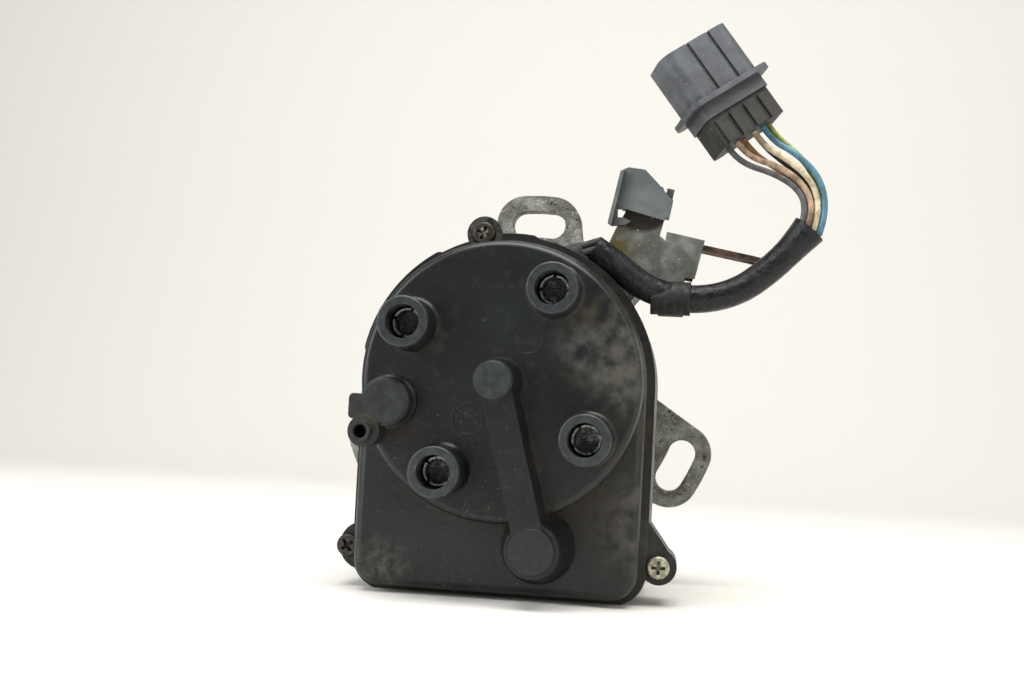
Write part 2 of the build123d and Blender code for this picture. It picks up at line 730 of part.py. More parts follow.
def ear(angle):
    """One slotted ear, flaring towards the flange from its rounded tip."""
    wide = SLOT_W + 2 * EAR_RIM
    half = (wide + SLOT_TRAVEL) / 2
    root = half + EAR_FLARE
    inner = FLANGE_R * 0.7
    flank = poly((inner, -root), (SLOT_RING_R, -half), (SLOT_RING_R, half), (inner, root))
    return slot_arc(angle, wide) + Rot(0, 0, angle) * flank


def gusset(angle):
    """Rib from the neck out along an ear."""
    rise = FLANGE_Y - GUSSET_RISE
    inner = NECK_BACK_R * 0.8
    outer = SLOT_RING_R - SLOT_W / 2 - GUSSET_CLEAR
    root = FLANGE_Y + BITE
    side = poly((inner, root), (outer, root), (outer, FLANGE_Y), (NECK_FRONT_R, rise), (inner, rise))
    return Rot(0, -angle, 0) * extrude(side, GUSSET_T / 2, both=True)


def bracket_pad():
    """Flat pad on the housing's shoulder that the bracket's foot is bolted to."""
    middle = BRACKET_Y - PAD_FRONT + PAD_L / 2
    return outward(PAD_ANGLE, PAD_R, middle) * (Pos(0, 0, -PAD_DEEP / 2) * Box(PAD_L, PAD_W, PAD_DEEP))


def foot_bolts_at():
    return [BRACKET_Y + back for back in BOLTS_BACK]


def nozzle_axis():
    """Where the wires leave the grommet, and the unit direction from there to the sleeve."""
    x, z = on_ring(BODY_R - NOZZLE_SINK, NOZZLE_ANGLE)
    start = Vector(x, NOZZLE_Y, z)
    way = Vector(*SLEEVE_ROUTE[0]) - start
    return start, way.normalized(), way.length


def grommet_body(play=0.0):
    """Rubber block in the housing's rim, behind the cap's lip, with a round nozzle."""
    x, z = on_ring(BODY_R - HOUSING_INSET - HOUSING_WALL - GROMMET_IN, GROMMET_ANGLE)
    plane = front(JOINT_Y + GROMMET_DEEP, x, z, GROMMET_ANGLE - 90)
    section = Pos(0, GROMMET_H / 2) * Rectangle(GROMMET_W + 2 * play, GROMMET_H)
    block = extrude(plane * section, GROMMET_DEEP)
    lip = outline(FRONT_WALL + HOUSING_INSET)
    block -= extrude(front(JOINT_Y + CAP_LIP_H + HEAD_CLEAR) * lip, CAP_LIP_H + BITE)
    start, way, _ = nozzle_axis()
    return block + extrude(Plane(origin=start, z_dir=way) * Circle(NOZZLE_R + play), NOZZLE_L)


def harness_grommet():
    """The grommet with the wires that run from its nozzle into the sleeve's mouth."""
    start, way, length = nozzle_axis()
    body = grommet_body()
    plane = Plane(origin=start, z_dir=way)
    for i in range(CORE_COUNT):
        x, y = on_ring(CORE_RING_R, i * 360 / CORE_COUNT)
        body += extrude(plane * (Pos(x, y) * Circle(CORE_R)), length + NOZZLE_L)
    mouth = Vector(*SLEEVE_ROUTE[0])
    beyond = Plane(origin=mouth, z_dir=Vector(*SLEEVE_ROUTE[1]) - mouth)
    return body - extrude(beyond * Circle(3 * NOZZLE_L), 2 * NOZZLE_L)


def housing_shell():
    """Cast chamber with its neck, ears, gussets, spigot and pad."""
    back = CHAMBER_BACK_Y
    body = extrude(front(back) * outline(HOUSING_INSET), CHAMBER_L)
    body = fillet(body.faces().sort_by(Axis.Y)[-1].edges(), BACK_EDGE_R)
    body += extrude(front(JOINT_Y + LUG_DEPTH) * lug_outline(HOUSING_LUG_INSET), LUG_DEPTH)
    root = FLANGE_Y + BITE
    body += turned([(0, back - BITE), (NECK_FRONT_R, back - BITE), (NECK_BACK_R, root), (0, root)])
    flange = Circle(FLANGE_R)
    for angle in EAR_ANGLES:
        flange += ear(angle)
    for angle in EAR_ANGLES:
        flange -= slot_arc(angle, SLOT_W)
    body += extrude(front(0) * flange, EAR_T)
    for angle in EAR_ANGLES:
        body += gusset(angle)
    end = SPIGOT_L - BITE
    body += turned([
        (0, -BITE), (SPIGOT_R, -BITE), (SPIGOT_R, end), (SPIGOT_R - BITE, SPIGOT_L), (0, SPIGOT_L),
    ])
    body -= ring(SPIGOT_R + BITE, SPIGOT_R - GROOVE_DEEP, GROOVE_Y + GROOVE_W, GROOVE_Y)
    return body + bracket_pad()


def housing():
    """The casting, hollowed, with its posts, bearing seat and screw holes."""
    body = housing_shell()
    body -= extrude(front(FLOOR_Y) * outline(HOUSING_INSET + HOUSING_WALL), FLOOR_Y - JOINT_Y + BITE)
    body -= extrude(front(JOINT_Y + COVER_STEP) * outline(HOUSING_INSET + FRONT_WALL), COVER_STEP + BITE)
    body += disc(BEARING_BOSS_R, FLOOR_Y + BITE, BEARING_FRONT_Y)
    for x, z in post_spots():
        body += disc(POST_R, FLOOR_Y + BITE, PLATE_Y, x, z)
        body -= disc(M3_R, PLATE_Y + POST_SCREW_DEEP, PLATE_Y - BITE, x, z)
    for x, z in coil_posts():
        body += disc(COIL_POST_R, FLOOR_Y + BITE, COIL_SEAT_Y, x, z)
        body -= disc(M4_R, FLOOR_Y, COIL_SEAT_Y - BITE, x, z)
    body -= disc(BEARING_R, BEARING_BACK_Y, BEARING_FRONT_Y - BITE)
    body -= disc(SEAL_R, SEAL_BACK_Y, BEARING_BACK_Y - BITE)
    body -= disc(BUSH_R, SPIGOT_L + BITE, SEAL_BACK_Y - BITE)
    for x, z in retainer_screw_spots():
        body -= disc(M3_R, FLOOR_Y + BITE, BEARING_FRONT_Y - BITE, x, z)
    for x, z in lug_spots():
        body -= disc(SCREW_R, JOINT_Y + SCREW_L, JOINT_Y - BITE, x, z)
    for y, z in module_screws_at():
        hole = Plane(origin=(MODULE_X + BITE, y, z), x_dir=(0, 1, 0), z_dir=(-1, 0, 0)) * Circle(M4_R)
        body -= extrude(hole, HOUSING_WALL)
    for y in foot_bolts_at():
        body -= radial_bar(BOLT_R, PAD_R - BOLT_L + BRACKET_T, PAD_R + BITE, PAD_ANGLE, y)
    return body - grommet_body()


def post_spots():
    return [on_ring(POST_RING_R, angle) for angle in POST_ANGLES]


def retainer_screw_spots():
    return [on_ring((BEARING_R + BEARING_BOSS_R) / 2, angle) for angle in (30, 150, 270)]


def coil_posts():
    x = (COIL_W - COIL_LIMB) / 2
    z = COIL_LIMB / 2 - COIL_FOOT
    return [(-x, z), (x, z)]


def module_screws_at():
    off = MODULE_H / 2 - MODULE_SCREW_END
    return [(MODULE_Y, MODULE_Z - off), (MODULE_Y, MODULE_Z + off)]


def nose_flat(y):
    """What is cut away for the flat on the shaft's nose, starting at depth y."""
    cut = Box(2 * BITE, FLAT_L + 2 * BITE, 2 * NOSE_R)
    return Pos(NOSE_R - NOSE_FLAT + BITE, y + FLAT_L / 2 - BITE, 0) * cut


def shaft():
    tip = COUPLING_END_Y - COUPLING_END - SHAFT_TIP_GAP
    neck = SHAFT_END_Y + NOSE_L
    points = [
        (0, tip), (SHAFT_R, tip), (SHAFT_R, BEARING_FRONT_Y), (SHAFT_COLLAR_R, BEARING_FRONT_Y),
        (SHAFT_COLLAR_R, CRANK_HUB_Y), (SHAFT_R, CRANK_HUB_Y), (SHAFT_R, neck), (NOSE_R, neck),
        (NOSE_R, SHAFT_END_Y + 0.5), (NOSE_R - 0.5, SHAFT_END_Y), (0, SHAFT_END_Y),
    ]
    return turned(points) - nose_flat(SHAFT_END_Y) - cross_pin(PIN_R)


def cross_pin(r):
    """Pin through the coupling and the shaft's end."""
    reach = COUPLING_R - RING_WIRE - PIN_INSET
    return extrude(Plane(origin=(-reach, PIN_Y, 0), z_dir=(1, 0, 0)) * Circle(r), 2 * reach)


def drive_coupling():
    """Driving dog: a hub that rocks on the cross pin, with a tongue set off centre."""
    back = COUPLING_Y
    end = COUPLING_END_Y
    edge_r = COUPLING_R - SHAFT_TIP_GAP
    body = turned([
        (0, back), (edge_r, back), (COUPLING_R, back + SHAFT_TIP_GAP), (COUPLING_R, end - SHAFT_TIP_GAP),
        (edge_r, end), (0, end),
    ])
    tongue = Pos(0, end + (DOG_H - BITE) / 2, DOG_SHIFT) * Box(2 * COUPLING_R, DOG_H + BITE, DOG_W)
    body += tongue & disc(edge_r, end + DOG_H, back)
    body -= disc(SHAFT_R + COUPLING_PLAY, end - COUPLING_END, back - BITE)
    body -= cross_pin(PIN_R + RUN_FIT)
    return body - ring(COUPLING_R + BITE, COUPLING_R - RING_WIRE, PIN_Y + RING_WIRE, PIN_Y - RING_WIRE)


def coupling_ring():
    """Open wire ring in the hub's groove that keeps the cross pin in."""
    wire = revolve(Pos(COUPLING_R - RING_WIRE / 2, PIN_Y) * Circle(RING_WIRE / 2), Axis.Y, RING_ARC)
    return Rot(0, 90 - (360 - RING_ARC) / 2, 0) * wire


def bearing_races():
    groove = revolve(Pos(BALL_RING_R, BEARING_BACK_Y - BEARING_T / 2) * Circle(BALL_R + BALL_PLAY), Axis.Y)
    outer = ring(BEARING_R, BEARING_R - RACE_T, BEARING_BACK_Y, BEARING_FRONT_Y)
    inner = ring(SHAFT_R + RACE_T, SHAFT_R, BEARING_BACK_Y, BEARING_FRONT_Y)
    return outer - groove, inner - groove


def bearing_balls():
    """Balls and the cage ring that spaces them, one running set."""
    y = BEARING_BACK_Y - BEARING_T / 2
    half = (BEARING_R - SHAFT_R) / 2 - RACE_T - CAGE_PLAY
    cage = ring(BALL_RING_R + half, BALL_RING_R - half, y + CAGE_T / 2, y - CAGE_T / 2)
    balls = []
    for i in range(BALL_COUNT):
        angle = i * 360 / BALL_COUNT
        x, z = on_ring(BALL_RING_R, angle)
        cage -= radial_bar(BALL_R + POCKET_PLAY, SHAFT_R + BITE, BEARING_R - BITE, angle, y)
        balls.append(Pos(x, y, z) * Sphere(BALL_R))
    return [cage] + balls


def bearing_retainer():
    face = BEARING_FRONT_Y - RETAINER_T
    plate = ring(BEARING_BOSS_R, BEARING_R - RACE_T, BEARING_FRONT_Y, face)
    for x, z in retainer_screw_spots():
        plate -= disc(M3_R + SCREW_PLAY, BEARING_FRONT_Y + BITE, face - BITE, x, z)
    return plate


def retainer_screws():
    return screws_at(retainer_screw_spots(), M3_R, M3_HEAD_R, M3_HEAD_H, M3_L, BEARING_FRONT_Y - RETAINER_T)


def oil_seal():
    """Lip seal: a turned body with its lip on the shaft."""
    back = SEAL_BACK_Y
    face = back - SEAL_L
    lip = SHAFT_R + SEAL_LIP
    bore = SHAFT_R + 2 * BITE
    return turned([
        (lip, back - 2.4), (lip, back - 3.2), (bore, face + BITE), (bore, face),
        (SEAL_R, face), (SEAL_R, back), (bore, back), (bore, back - 1.2),
    ])


def rear_bush():
    end = SPIGOT_L - BUSH_IN
    return ring(BUSH_R, SHAFT_R + RUN_FIT, end, end - BUSH_L)


def spigot_o_ring():
    centre = SPIGOT_R - GROOVE_DEEP + O_RING_R
    return revolve(Pos(centre, GROOVE_Y + GROOVE_W / 2) * Circle(O_RING_R), Axis.Y)


def wheel(r, teeth, tooth_h, tooth_w, y, hub_back):
    """Toothed trigger wheel on its hub."""
    blank = Circle(r - tooth_h)
    for i in range(teeth):
        tooth = Pos(r - (tooth_h + BITE) / 2, 0) * Rectangle(tooth_h + BITE, tooth_w)
        blank += Rot(0, 0, i * 360 / teeth) * tooth
    body = extrude(front(y + WHEEL_T / 2) * blank, WHEEL_T)
    body += disc(WHEEL_HUB_R, hub_back, hub_back - WHEEL_HUB_L)
    return body - disc(SHAFT_R, hub_back + BITE, hub_back - WHEEL_HUB_L - BITE)


def crank_wheel():
    return wheel(CRANK_WHEEL_R, CRANK_TEETH, TOOTH_H, pi * CRANK_WHEEL_R / CRANK_TEETH, CRANK_Y, CRANK_HUB_Y)


def stroke_wheel():
    return wheel(STROKE_WHEEL_R, STROKE_TEETH, STROKE_TOOTH_H, STROKE_TOOTH_W, STROKE_Y, STROKE_HUB_Y)


def sensor_plate():
    back, face = PLATE_Y + BITE, PLATE_Y - PLATE_T - BITE
    plate = ring(PLATE_OUT_R, PLATE_IN_R, PLATE_Y, PLATE_Y - PLATE_T)
    for x, z in post_spots():
        plate -= disc(M3_R + SCREW_PLAY, back, face, x, z)
    for x, z in sensor_screw_spots():
        plate -= disc(M3_R, back, face, x, z)
    return plate


def plate_screws():
    return screws_at(post_spots(), M3_R, M3_HEAD_R, M3_HEAD_H, M3_L, PLATE_Y - PLATE_T)


def sensor_screw_spots():
    spots = []
    along = SENSOR_IN_R + SENSOR_L / 2
    side = SENSOR_W / 2 + M3_HEAD_R + HEAD_CLEAR
    for angle in (CRANK_SENSOR_ANGLE, STROKE_SENSOR_ANGLE):
        a = radians(angle)
        for across in (-side, side):
            spots.append((along * cos(a) - across * sin(a), along * sin(a) + across * cos(a)))
    return spots


def sensor(angle, wheel_r, y):
    """Pick-up: wound bobbin on two ears and a pole that faces its wheel across the air gap."""
    seat = PLATE_Y - PLATE_T
    top = y - WHEEL_T / 2 - BITE
    plane = front(seat, 0, 0, angle)
    mid = SENSOR_IN_R + SENSOR_L / 2
    body = extrude(plane * (Pos(mid, 0) * Rectangle(SENSOR_L, SENSOR_W)), seat - top)
    body += extrude(plane * (Pos(mid, 0) * Rectangle(SENSOR_EAR, SENSOR_W + 2 * SENSOR_EAR)), SENSOR_EAR_T)
    tip = wheel_r + AIR_GAP
    pole = Pos((tip + SENSOR_IN_R + BITE) / 2, 0) * Rectangle(SENSOR_IN_R - tip + BITE, POLE_W)
    body += extrude(front(y + POLE_T / 2, 0, 0, angle) * pole, POLE_T)
    for x, z in sensor_screw_spots():
        body -= disc(M3_R + SCREW_PLAY, seat + BITE, seat - SENSOR_EAR_T - BITE, x, z)
    return body


def sensor_screws():
    seat = PLATE_Y - PLATE_T - SENSOR_EAR_T
    return screws_at(sensor_screw_spots(), M3_R, M3_HEAD_R, M3_HEAD_H, SENSOR_EAR_T + PLATE_T, seat)


def ignition_coil():
    """Laminated core round a potted winding, with the high-tension tower to the cap."""
    z = -(COIL_TOP + COIL_FOOT) / 2
    core = extrude(front(COIL_SEAT_Y, 0, z) * Rectangle(COIL_W, COIL_CORE_H), COIL_CORE_T)
    section = RectangleRounded(COIL_BODY_W, COIL_BODY_H, COIL_ROUND)
    winding = extrude(front(COIL_FACE_Y + COIL_BODY_T, 0, z) * section, COIL_BODY_T)
    mid = COIL_SEAT_Y - COIL_CORE_T / 2
    tower = disc(COIL_TOWER_R, mid, COIL_TIP_Y, COIL_SIDE, -COIL_DROP)
    tower += disc(COIL_TOWER_R + COIL_STEP, mid, COIL_FACE_Y - COIL_STEP_H, COIL_SIDE, -COIL_DROP)
    for x, z in coil_posts():
        core -= disc(M4_R + SCREW_PLAY, COIL_SEAT_Y + BITE, COIL_SEAT_Y - COIL_CORE_T - BITE, x, z)
    return core + winding + tower


def coil_screws():
    length = COIL_CORE_T + COIL_POST_L - BITE
    return screws_at(coil_posts(), M4_R, M4_HEAD_R, M4_HEAD_H, length, COIL_SEAT_Y - COIL_CORE_T)


def coil_terminal():
    """Spring contact between the coil's tower and the strip in the cap."""
    button = disc(COIL_BUTTON_R, COIL_TIP_Y, STRIP_Y, COIL_SIDE, -COIL_DROP)
    return button + disc(COIL_PAD_R, COIL_TIP_Y, COIL_TIP_Y - COIL_PAD_T, COIL_SIDE, -COIL_DROP)


def igniter_module():
    """Switching module on its metal heat sink, screwed to the chamber's flat side."""
    sink = Pos(MODULE_X + SINK_T / 2, MODULE_Y, MODULE_Z) * Box(SINK_T, MODULE_W, MODULE_H)
    x = MODULE_X + SINK_T + MODULE_T / 2
    body = Pos(x, MODULE_Y, MODULE_Z) * Box(MODULE_T, MODULE_W - 2 * MODULE_SIDE, MODULE_H - 2 * MODULE_END)
    blade = Box(BLADE_T, 2 * BLADE_OUT, BLADE_W)
    for i in range(MODULE_BLADES):
        z = MODULE_Z + (i - (MODULE_BLADES - 1) / 2) * BLADE_PITCH
        body += Pos(x, MODULE_Y - MODULE_W / 2 + MODULE_SIDE, z) * blade
    for y, z in module_screws_at():
        hole = Cylinder(M4_R + SCREW_PLAY, SINK_T + BITE)
        sink -= Pos(MODULE_X + SINK_T / 2, y, z) * Rot(0, 90, 0) * hole
    return sink + body


def module_screws():
    seat = MODULE_X + SINK_T
    shank_l = SINK_T + MODULE_SCREW_BITE
    screws = []
    for y, z in module_screws_at():
        shank = Pos(seat - shank_l / 2, y, z) * Rot(0, 90, 0) * Cylinder(M4_R, shank_l)
        head = Pos(seat + M4_HEAD_H / 2, y, z) * Rot(0, 90, 0) * Cylinder(M4_HEAD_R, M4_HEAD_H)
        screws.append(shank + head)
    return screws


def leak_cover():
    """Moulded plate behind the rotor that keeps dust off the sensors and the coil."""
    back = JOINT_Y + COVER_STEP
    collar_y = back - COVER_T - COVER_COLLAR
    plate = extrude(front(back) * outline(HOUSING_INSET + FRONT_WALL + COVER_PLAY), COVER_T)
    plate += disc(COVER_HOLE_R + COVER_COLLAR, back, collar_y)
    plate -= disc(COVER_HOLE_R, back + BITE, collar_y - BITE)
    plate -= disc(COIL_TOWER_R + 0.5, back + BITE, back - COVER_T - BITE, COIL_SIDE, -COIL_DROP)
    return plate - grommet_body(COVER_PLAY)


def rotor_arm():
    """Moulded rotor: a hub on the shaft's flat nose and an arm with a shorter tail."""
    back = ROTOR_FACE_Y + ROTOR_T
    hub_back = ROTOR_FACE_Y + ROTOR_HUB_L
    arm = Pos((ROTOR_REACH - ROTOR_TAIL) / 2, 0) * SlotOverall(ROTOR_REACH + ROTOR_TAIL, ROTOR_ARM_W)
    half = Circle(ROTOR_TAIL) & (Pos(-ROTOR_TAIL / 2, 0) * Rectangle(ROTOR_TAIL, 2 * ROTOR_TAIL))
    body = extrude(front(back) * arm, ROTOR_T) + extrude(front(back) * half, ROTOR_T)
    body += disc(ROTOR_HUB_R, hub_back, ROTOR_FACE_Y)
    body -= disc(NOSE_R, hub_back + BITE, back) - nose_flat(back)
    return body - radial_bar(ROTOR_SCREW_R, NOSE_R - BITE, ROTOR_HUB_R + BITE, 180, back + ROTOR_SCREW_AT)


def rotor_contact():
    """Brass blade from the brush to the tip that passes the electrodes."""
    middle = CONTACT_W / 2
    blade = Pos((CONTACT_TIP_R - middle) / 2 + middle / 2, 0) * Rectangle(CONTACT_TIP_R + middle, CONTACT_W)
    shape = (blade & Circle(CONTACT_TIP_R)) + Circle(middle + BITE)
    return extrude(front(ROTOR_FACE_Y) * shape, CONTACT_T)


def rotor_screw():
    y = ROTOR_FACE_Y + ROTOR_T + ROTOR_SCREW_AT
    return radial_bar(ROTOR_SCREW_R, NOSE_R, ROTOR_HUB_R - 0.5, 180, y)


def carbon_brush():
    return disc(BRUSH_R, BRUSH_Y, BRUSH_Y - BRUSH_L)


def brush_spring():
    """Light coil spring between the brush and the strip."""
    start = BRUSH_Y - BRUSH_L
    height = start - STRIP_Y - 2 * SPRING_WIRE
    r = BRUSH_R - SPRING_WIRE - SPRING_PLAY
    foot = (0, start - SPRING_WIRE, 0)
    path = Helix(height / SPRING_TURNS, height, r, center=foot, direction=(0, -1, 0))
    return sweep(Plane(origin=path @ 0, z_dir=path % 0) * Circle(SPRING_WIRE / 2), path)


def plate_origin():
    """Middle of the pad's face, from which the bracket's points are counted."""
    return on_ring(PAD_R, PAD_ANGLE)


def on_tongue():
    """Place and lean of the tongue, in the plate's plane."""
    x, z = plate_origin()
    return Pos(x + TONGUE_AT[0], z + TONGUE_AT[1]) * Rot(0, 0, -TONGUE_LEAN)


def bracket():
    """Pressed steel plate with a foot on the housing, a tongue above and a tab for the harness."""
    tab = Pos(TAB_X, (TAB_TOP + TAB_DROP) / 2) * Rectangle(TAB_W, TAB_TOP - TAB_DROP)
    flat = Pos(*plate_origin()) * (poly(*PLATE_EDGE) + tab) + on_tongue() * poly(*TONGUE_EDGE)
    body = extrude(front(BRACKET_Y + BRACKET_T) * flat, BRACKET_T)
    foot = Pos(0, 0, BRACKET_T / 2) * Box(FOOT_L, FOOT_W, BRACKET_T)
    body += outward(PAD_ANGLE, PAD_R, BRACKET_Y + FOOT_L / 2) * foot
    for y in foot_bolts_at():
        body -= radial_bar(BOLT_R + SCREW_PLAY, PAD_R - BITE, PAD_R + BRACKET_T + BITE, PAD_ANGLE, y)
    return body


def bracket_bolts():
    seat = PAD_R + BRACKET_T
    bolts = []
    for y in foot_bolts_at():
        head = extrude(outward(PAD_ANGLE, seat, y) * RegularPolygon(BOLT_HEAD_R, 6), BOLT_HEAD_H)
        bolts.append(head + radial_bar(BOLT_R, seat - BOLT_L, seat + BITE, PAD_ANGLE, y))
    return bolts


def bracket_stay():
    """Narrow steel stay spot-welded behind the plate, with a bolt hole at its far end."""
    x, z = plate_origin()
    x, z = x + STAY_FROM[0], z + STAY_FROM[1]
    dx, dz = STAY_TO[0] - STAY_FROM[0], STAY_TO[1] - STAY_FROM[1]
    length = hypot(dx, dz)
    back = BRACKET_Y + BRACKET_T
    side = STAY_W / 2
    plane = Plane(origin=(x, back, z), x_dir=(dx, 0, dz), z_dir=(-dz, 0, dx))
    arm = Pos(length / 2, side) * Rectangle(length, STAY_W) + Pos(length, side) * Circle(side)
    arm = extrude(plane * (arm - Pos(length, side) * Circle(STAY_HOLE_R)), STAY_T)
    leg = Pos(STAY_LEG_W / 2, -STAY_LEG / 2) * Rectangle(STAY_LEG_W, STAY_LEG)
    return arm + extrude(front(back + STAY_T, x, z, degrees(atan2(dz, dx))) * leg, STAY_T)


def connector_holder():
    """Moulded clip pushed over the bracket's tongue, which the connector slides on to."""
    place = on_tongue()
    back = BRACKET_Y + BRACKET_T + HOLDER_T
    body = extrude(front(BRACKET_Y) * (place * poly(*HOLDER_EDGE)), HOLDER_T)
    body += extrude(front(BRACKET_Y) * (place * poly(*HOLDER_LIP)), HOLDER_FLANGE)
    body += extrude(front(back) * (place * Pos(*CLIP_MID) * Rectangle(CLIP_W, CLIP_H)), HOLDER_T)
    for side in (-1, 1):
        wall = Pos(CLIP_MID[0] + side * (CLIP_W - CLIP_WALL) / 2, CLIP_MID[1]) * Rectangle(CLIP_WALL, CLIP_H)
        body += extrude(front(back) * (place * wall), BRACKET_T + 2 * HOLDER_T)
    return body + extrude(front(back) * (place * Pos(*NUB_AT) * Rectangle(*NUB_SIZE)), HOLDER_T)


def cord(points, diameter):
    """Round cord: straight runs joined by the largest tangent arcs that the runs allow."""
    spots = [Vector(*p) for p in points]
    radii = []
    for a, b, c in zip(spots, spots[1:], spots[2:]):
        turn = radians((b - a).get_angle(c - b))
        radii.append(0.45 * min((b - a).length, (c - b).length) / tan(turn / 2))
    path = FilletPolyline(*spots, radius=radii)
    print("cord", diameter, "length", round(path.length, 1), "radii", [round(r, 1) for r in radii])
    return sweep(Plane(origin=path @ 0, z_dir=path % 0) * Circle(diameter / 2), path)


def wire_route(across, back, turns, seat_across, seat_back):
    """Route of one wire, from the sleeve's cut end to the connector's rear face."""
    end = Vector(*SLEEVE_ROUTE[-1])
    way = (end - Vector(*SLEEVE_ROUTE[-2])).normalized()
    side = Vector(way.Z, 0, -way.X)
    start = end + side * across + Vector(0, back, 0) + way * WIRE_GAP
    plane = connector_plane(0)
    before = plane.from_local_coords(Vector(seat_across, seat_back, -WIRE_LAST))
    goal = plane.from_local_coords(Vector(seat_across, seat_back, -SEAT_GAP))
    return [tuple(round(v, 2) for v in Vector(p)) for p in [start, *turns, before, goal]]


def harness_tape(sleeve):
    """Band of tape round the sleeve and the bracket's tab."""
    y, z = SLEEVE_ROUTE[3][1], SLEEVE_ROUTE[3][2] - TAPE_SAG
    x = plate_origin()[0] + TAB_X
    r = SLEEVE_D / 2 + TAPE_T
    back = BRACKET_Y + BRACKET_T + TAPE_T
    plane = Plane(origin=(x - TAPE_L / 2, 0, 0), x_dir=(0, 1, 0), z_dir=(1, 0, 0))
    wrap = Pos(y, z) * Circle(r) + Pos((y + back) / 2, z) * Rectangle(back - y, 2 * r - 2.5)
    tab = Pos(x, BRACKET_Y + BRACKET_T / 2, z + r) * Box(TAB_W, BRACKET_T, 4 * r)
    return extrude(plane * wrap, TAPE_L) - tab - sleeve


def connector_plane(along):
    """Plane square to the connector's axis, at that distance from its rear face."""
    lean = radians(CONNECTOR_LEAN)
    twist = radians(CONNECTOR_TWIST)
    axis = Vector(-sin(lean), 0, cos(lean))
    wide = Vector(cos(lean) * cos(twist), sin(twist), sin(lean) * cos(twist))
    return Plane(origin=Vector(*CONNECTOR_AT) + axis * along, x_dir=wide, z_dir=axis)


def connector_rear():
    """Dark rear block with lengthwise ribs, where the wires go in."""
    block = extrude(connector_plane(0) * RectangleRounded(REAR_W, REAR_T, REAR_ROUND), REAR_L)
    ribs = Sketch()
    for i in range(REAR_RIBS):
        x = (i - (REAR_RIBS - 1) / 2) * REAR_RIB_PITCH
        ribs += Pos(x, 0) * Rectangle(REAR_RIB_W, REAR_T + 2 * REAR_RIB)
    return block + extrude(connector_plane(0) * ribs, REAR_L - REAR_ROUND)


def connector_shell():
    """Grey shell: a neck, a collar and the shroud round the pins, open at its mouth."""
    collar_at = REAR_L + MID_L
    floor = collar_at + COLLAR_T
    neck = RectangleRounded(NECK_W, NECK_T, NECK_ROUND)
    collar = RectangleRounded(SHROUD_W + 2 * COLLAR_OVER, SHROUD_T + 2 * COLLAR_OVER, COLLAR_ROUND)
    body = extrude(connector_plane(REAR_L) * neck, MID_L)
    body += extrude(connector_plane(collar_at) * collar, COLLAR_T)
    outer = RectangleRounded(SHROUD_W, SHROUD_T, SHROUD_CORNER)
    for side in (-1, 1):
        outer -= Pos(side * KEY_SIDE + KEY_SHIFT, -SHROUD_T / 2) * Rectangle(KEY_W, KEY_W)
    body += extrude(connector_plane(floor) * outer, SHROUD_L)
    wall = SHROUD_WALL + SHROUD_LINING
    inner = RectangleRounded(SHROUD_W - 2 * wall, SHROUD_T - 2 * wall, SHROUD_CORNER - wall)
    return body - extrude(connector_plane(floor + SHROUD_FLOOR) * inner, SHROUD_L)


def connector_pins():
    """Flat blades in two rows, standing on the floor of the shroud."""
    base = REAR_L + MID_L + COLLAR_T + SHROUD_FLOOR
    pins = []
    for z in (-PIN_ROWS, PIN_ROWS):
        for i in range(PIN_COLUMNS):
            spot = Pos((i - (PIN_COLUMNS - 1) / 2) * PIN_PITCH, z) * Rectangle(PIN_W, PIN_T)
            pins.append(extrude(connector_plane(base) * spot, PIN_OUT))
    return pins


def build_cap():
    save("cap", cap())
    save("tower_terminals", *tower_terminals())
    save("cap_conductor", strip())
    save("cap_seal", cap_seal())
    save("cap_ferrules", *cap_ferrules())
    save("cap_screws", *cap_screws())
    save("breather_elbow", breather_elbow())
    save("carbon_brush", carbon_brush())
    save("brush_spring", brush_spring())


def build_housing():
    save("housing", housing())
    save("spigot_o_ring", spigot_o_ring())
    save("rear_bush", rear_bush())
    save("oil_seal", oil_seal())
    save("bearing_retainer", bearing_retainer())
    save("retainer_screws", *retainer_screws())
    save("sensor_plate", sensor_plate())
    save("plate_screws", *plate_screws())
    save("crank_sensor", sensor(CRANK_SENSOR_ANGLE, CRANK_WHEEL_R, CRANK_Y))
    save("stroke_sensor", sensor(STROKE_SENSOR_ANGLE, STROKE_WHEEL_R, STROKE_Y))
    save("sensor_screws", *sensor_screws())
    save("ignition_coil", ignition_coil())
    save("coil_screws", *coil_screws())
    save("coil_terminal", coil_terminal())
    save("igniter_module", igniter_module())
    save("module_screws", *module_screws())
    save("leak_cover", leak_cover())


def build_turning():
    outer, inner = bearing_races()
    save("bearing_outer_race", outer)
    save("bearing_inner_race", inner)
    save("bearing_balls", *bearing_balls())
    save("shaft", shaft())
    save("crank_wheel", crank_wheel())
    save("stroke_wheel", stroke_wheel())
    save("rotor_arm", rotor_arm())
    save("rotor_contact", rotor_contact())
    save("rotor_screw", rotor_screw())
    save("drive_coupling", drive_coupling())
    save("coupling_pin", cross_pin(PIN_R))
    save("coupling_ring", coupling_ring())


def build_harness():
    save("bracket", bracket())
    save("bracket_bolts", *bracket_bolts())
    save("bracket_stay", bracket_stay())
    save("connector_holder", connector_holder())
    save("harness_grommet", harness_grommet())
    sleeve = cord(SLEEVE_ROUTE, SLEEVE_D)
    save("harness_sleeve", sleeve)
    save("harness_tape", harness_tape(sleeve))
    for name, spec in WIRES.items():
        route = wire_route(*spec)
        print(name, route)
        save(name, cord(route, WIRE_D))
    save("connector_rear", connector_rear())
    save("connector_shell", connector_shell())
    save("connector_pins", *connector_pins())


build_cap()
build_housing()
build_turning()
build_harness()
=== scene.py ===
"""Ignition distributor dressed for its photograph: worn cap, cast housing, bracket and harness."""

import math

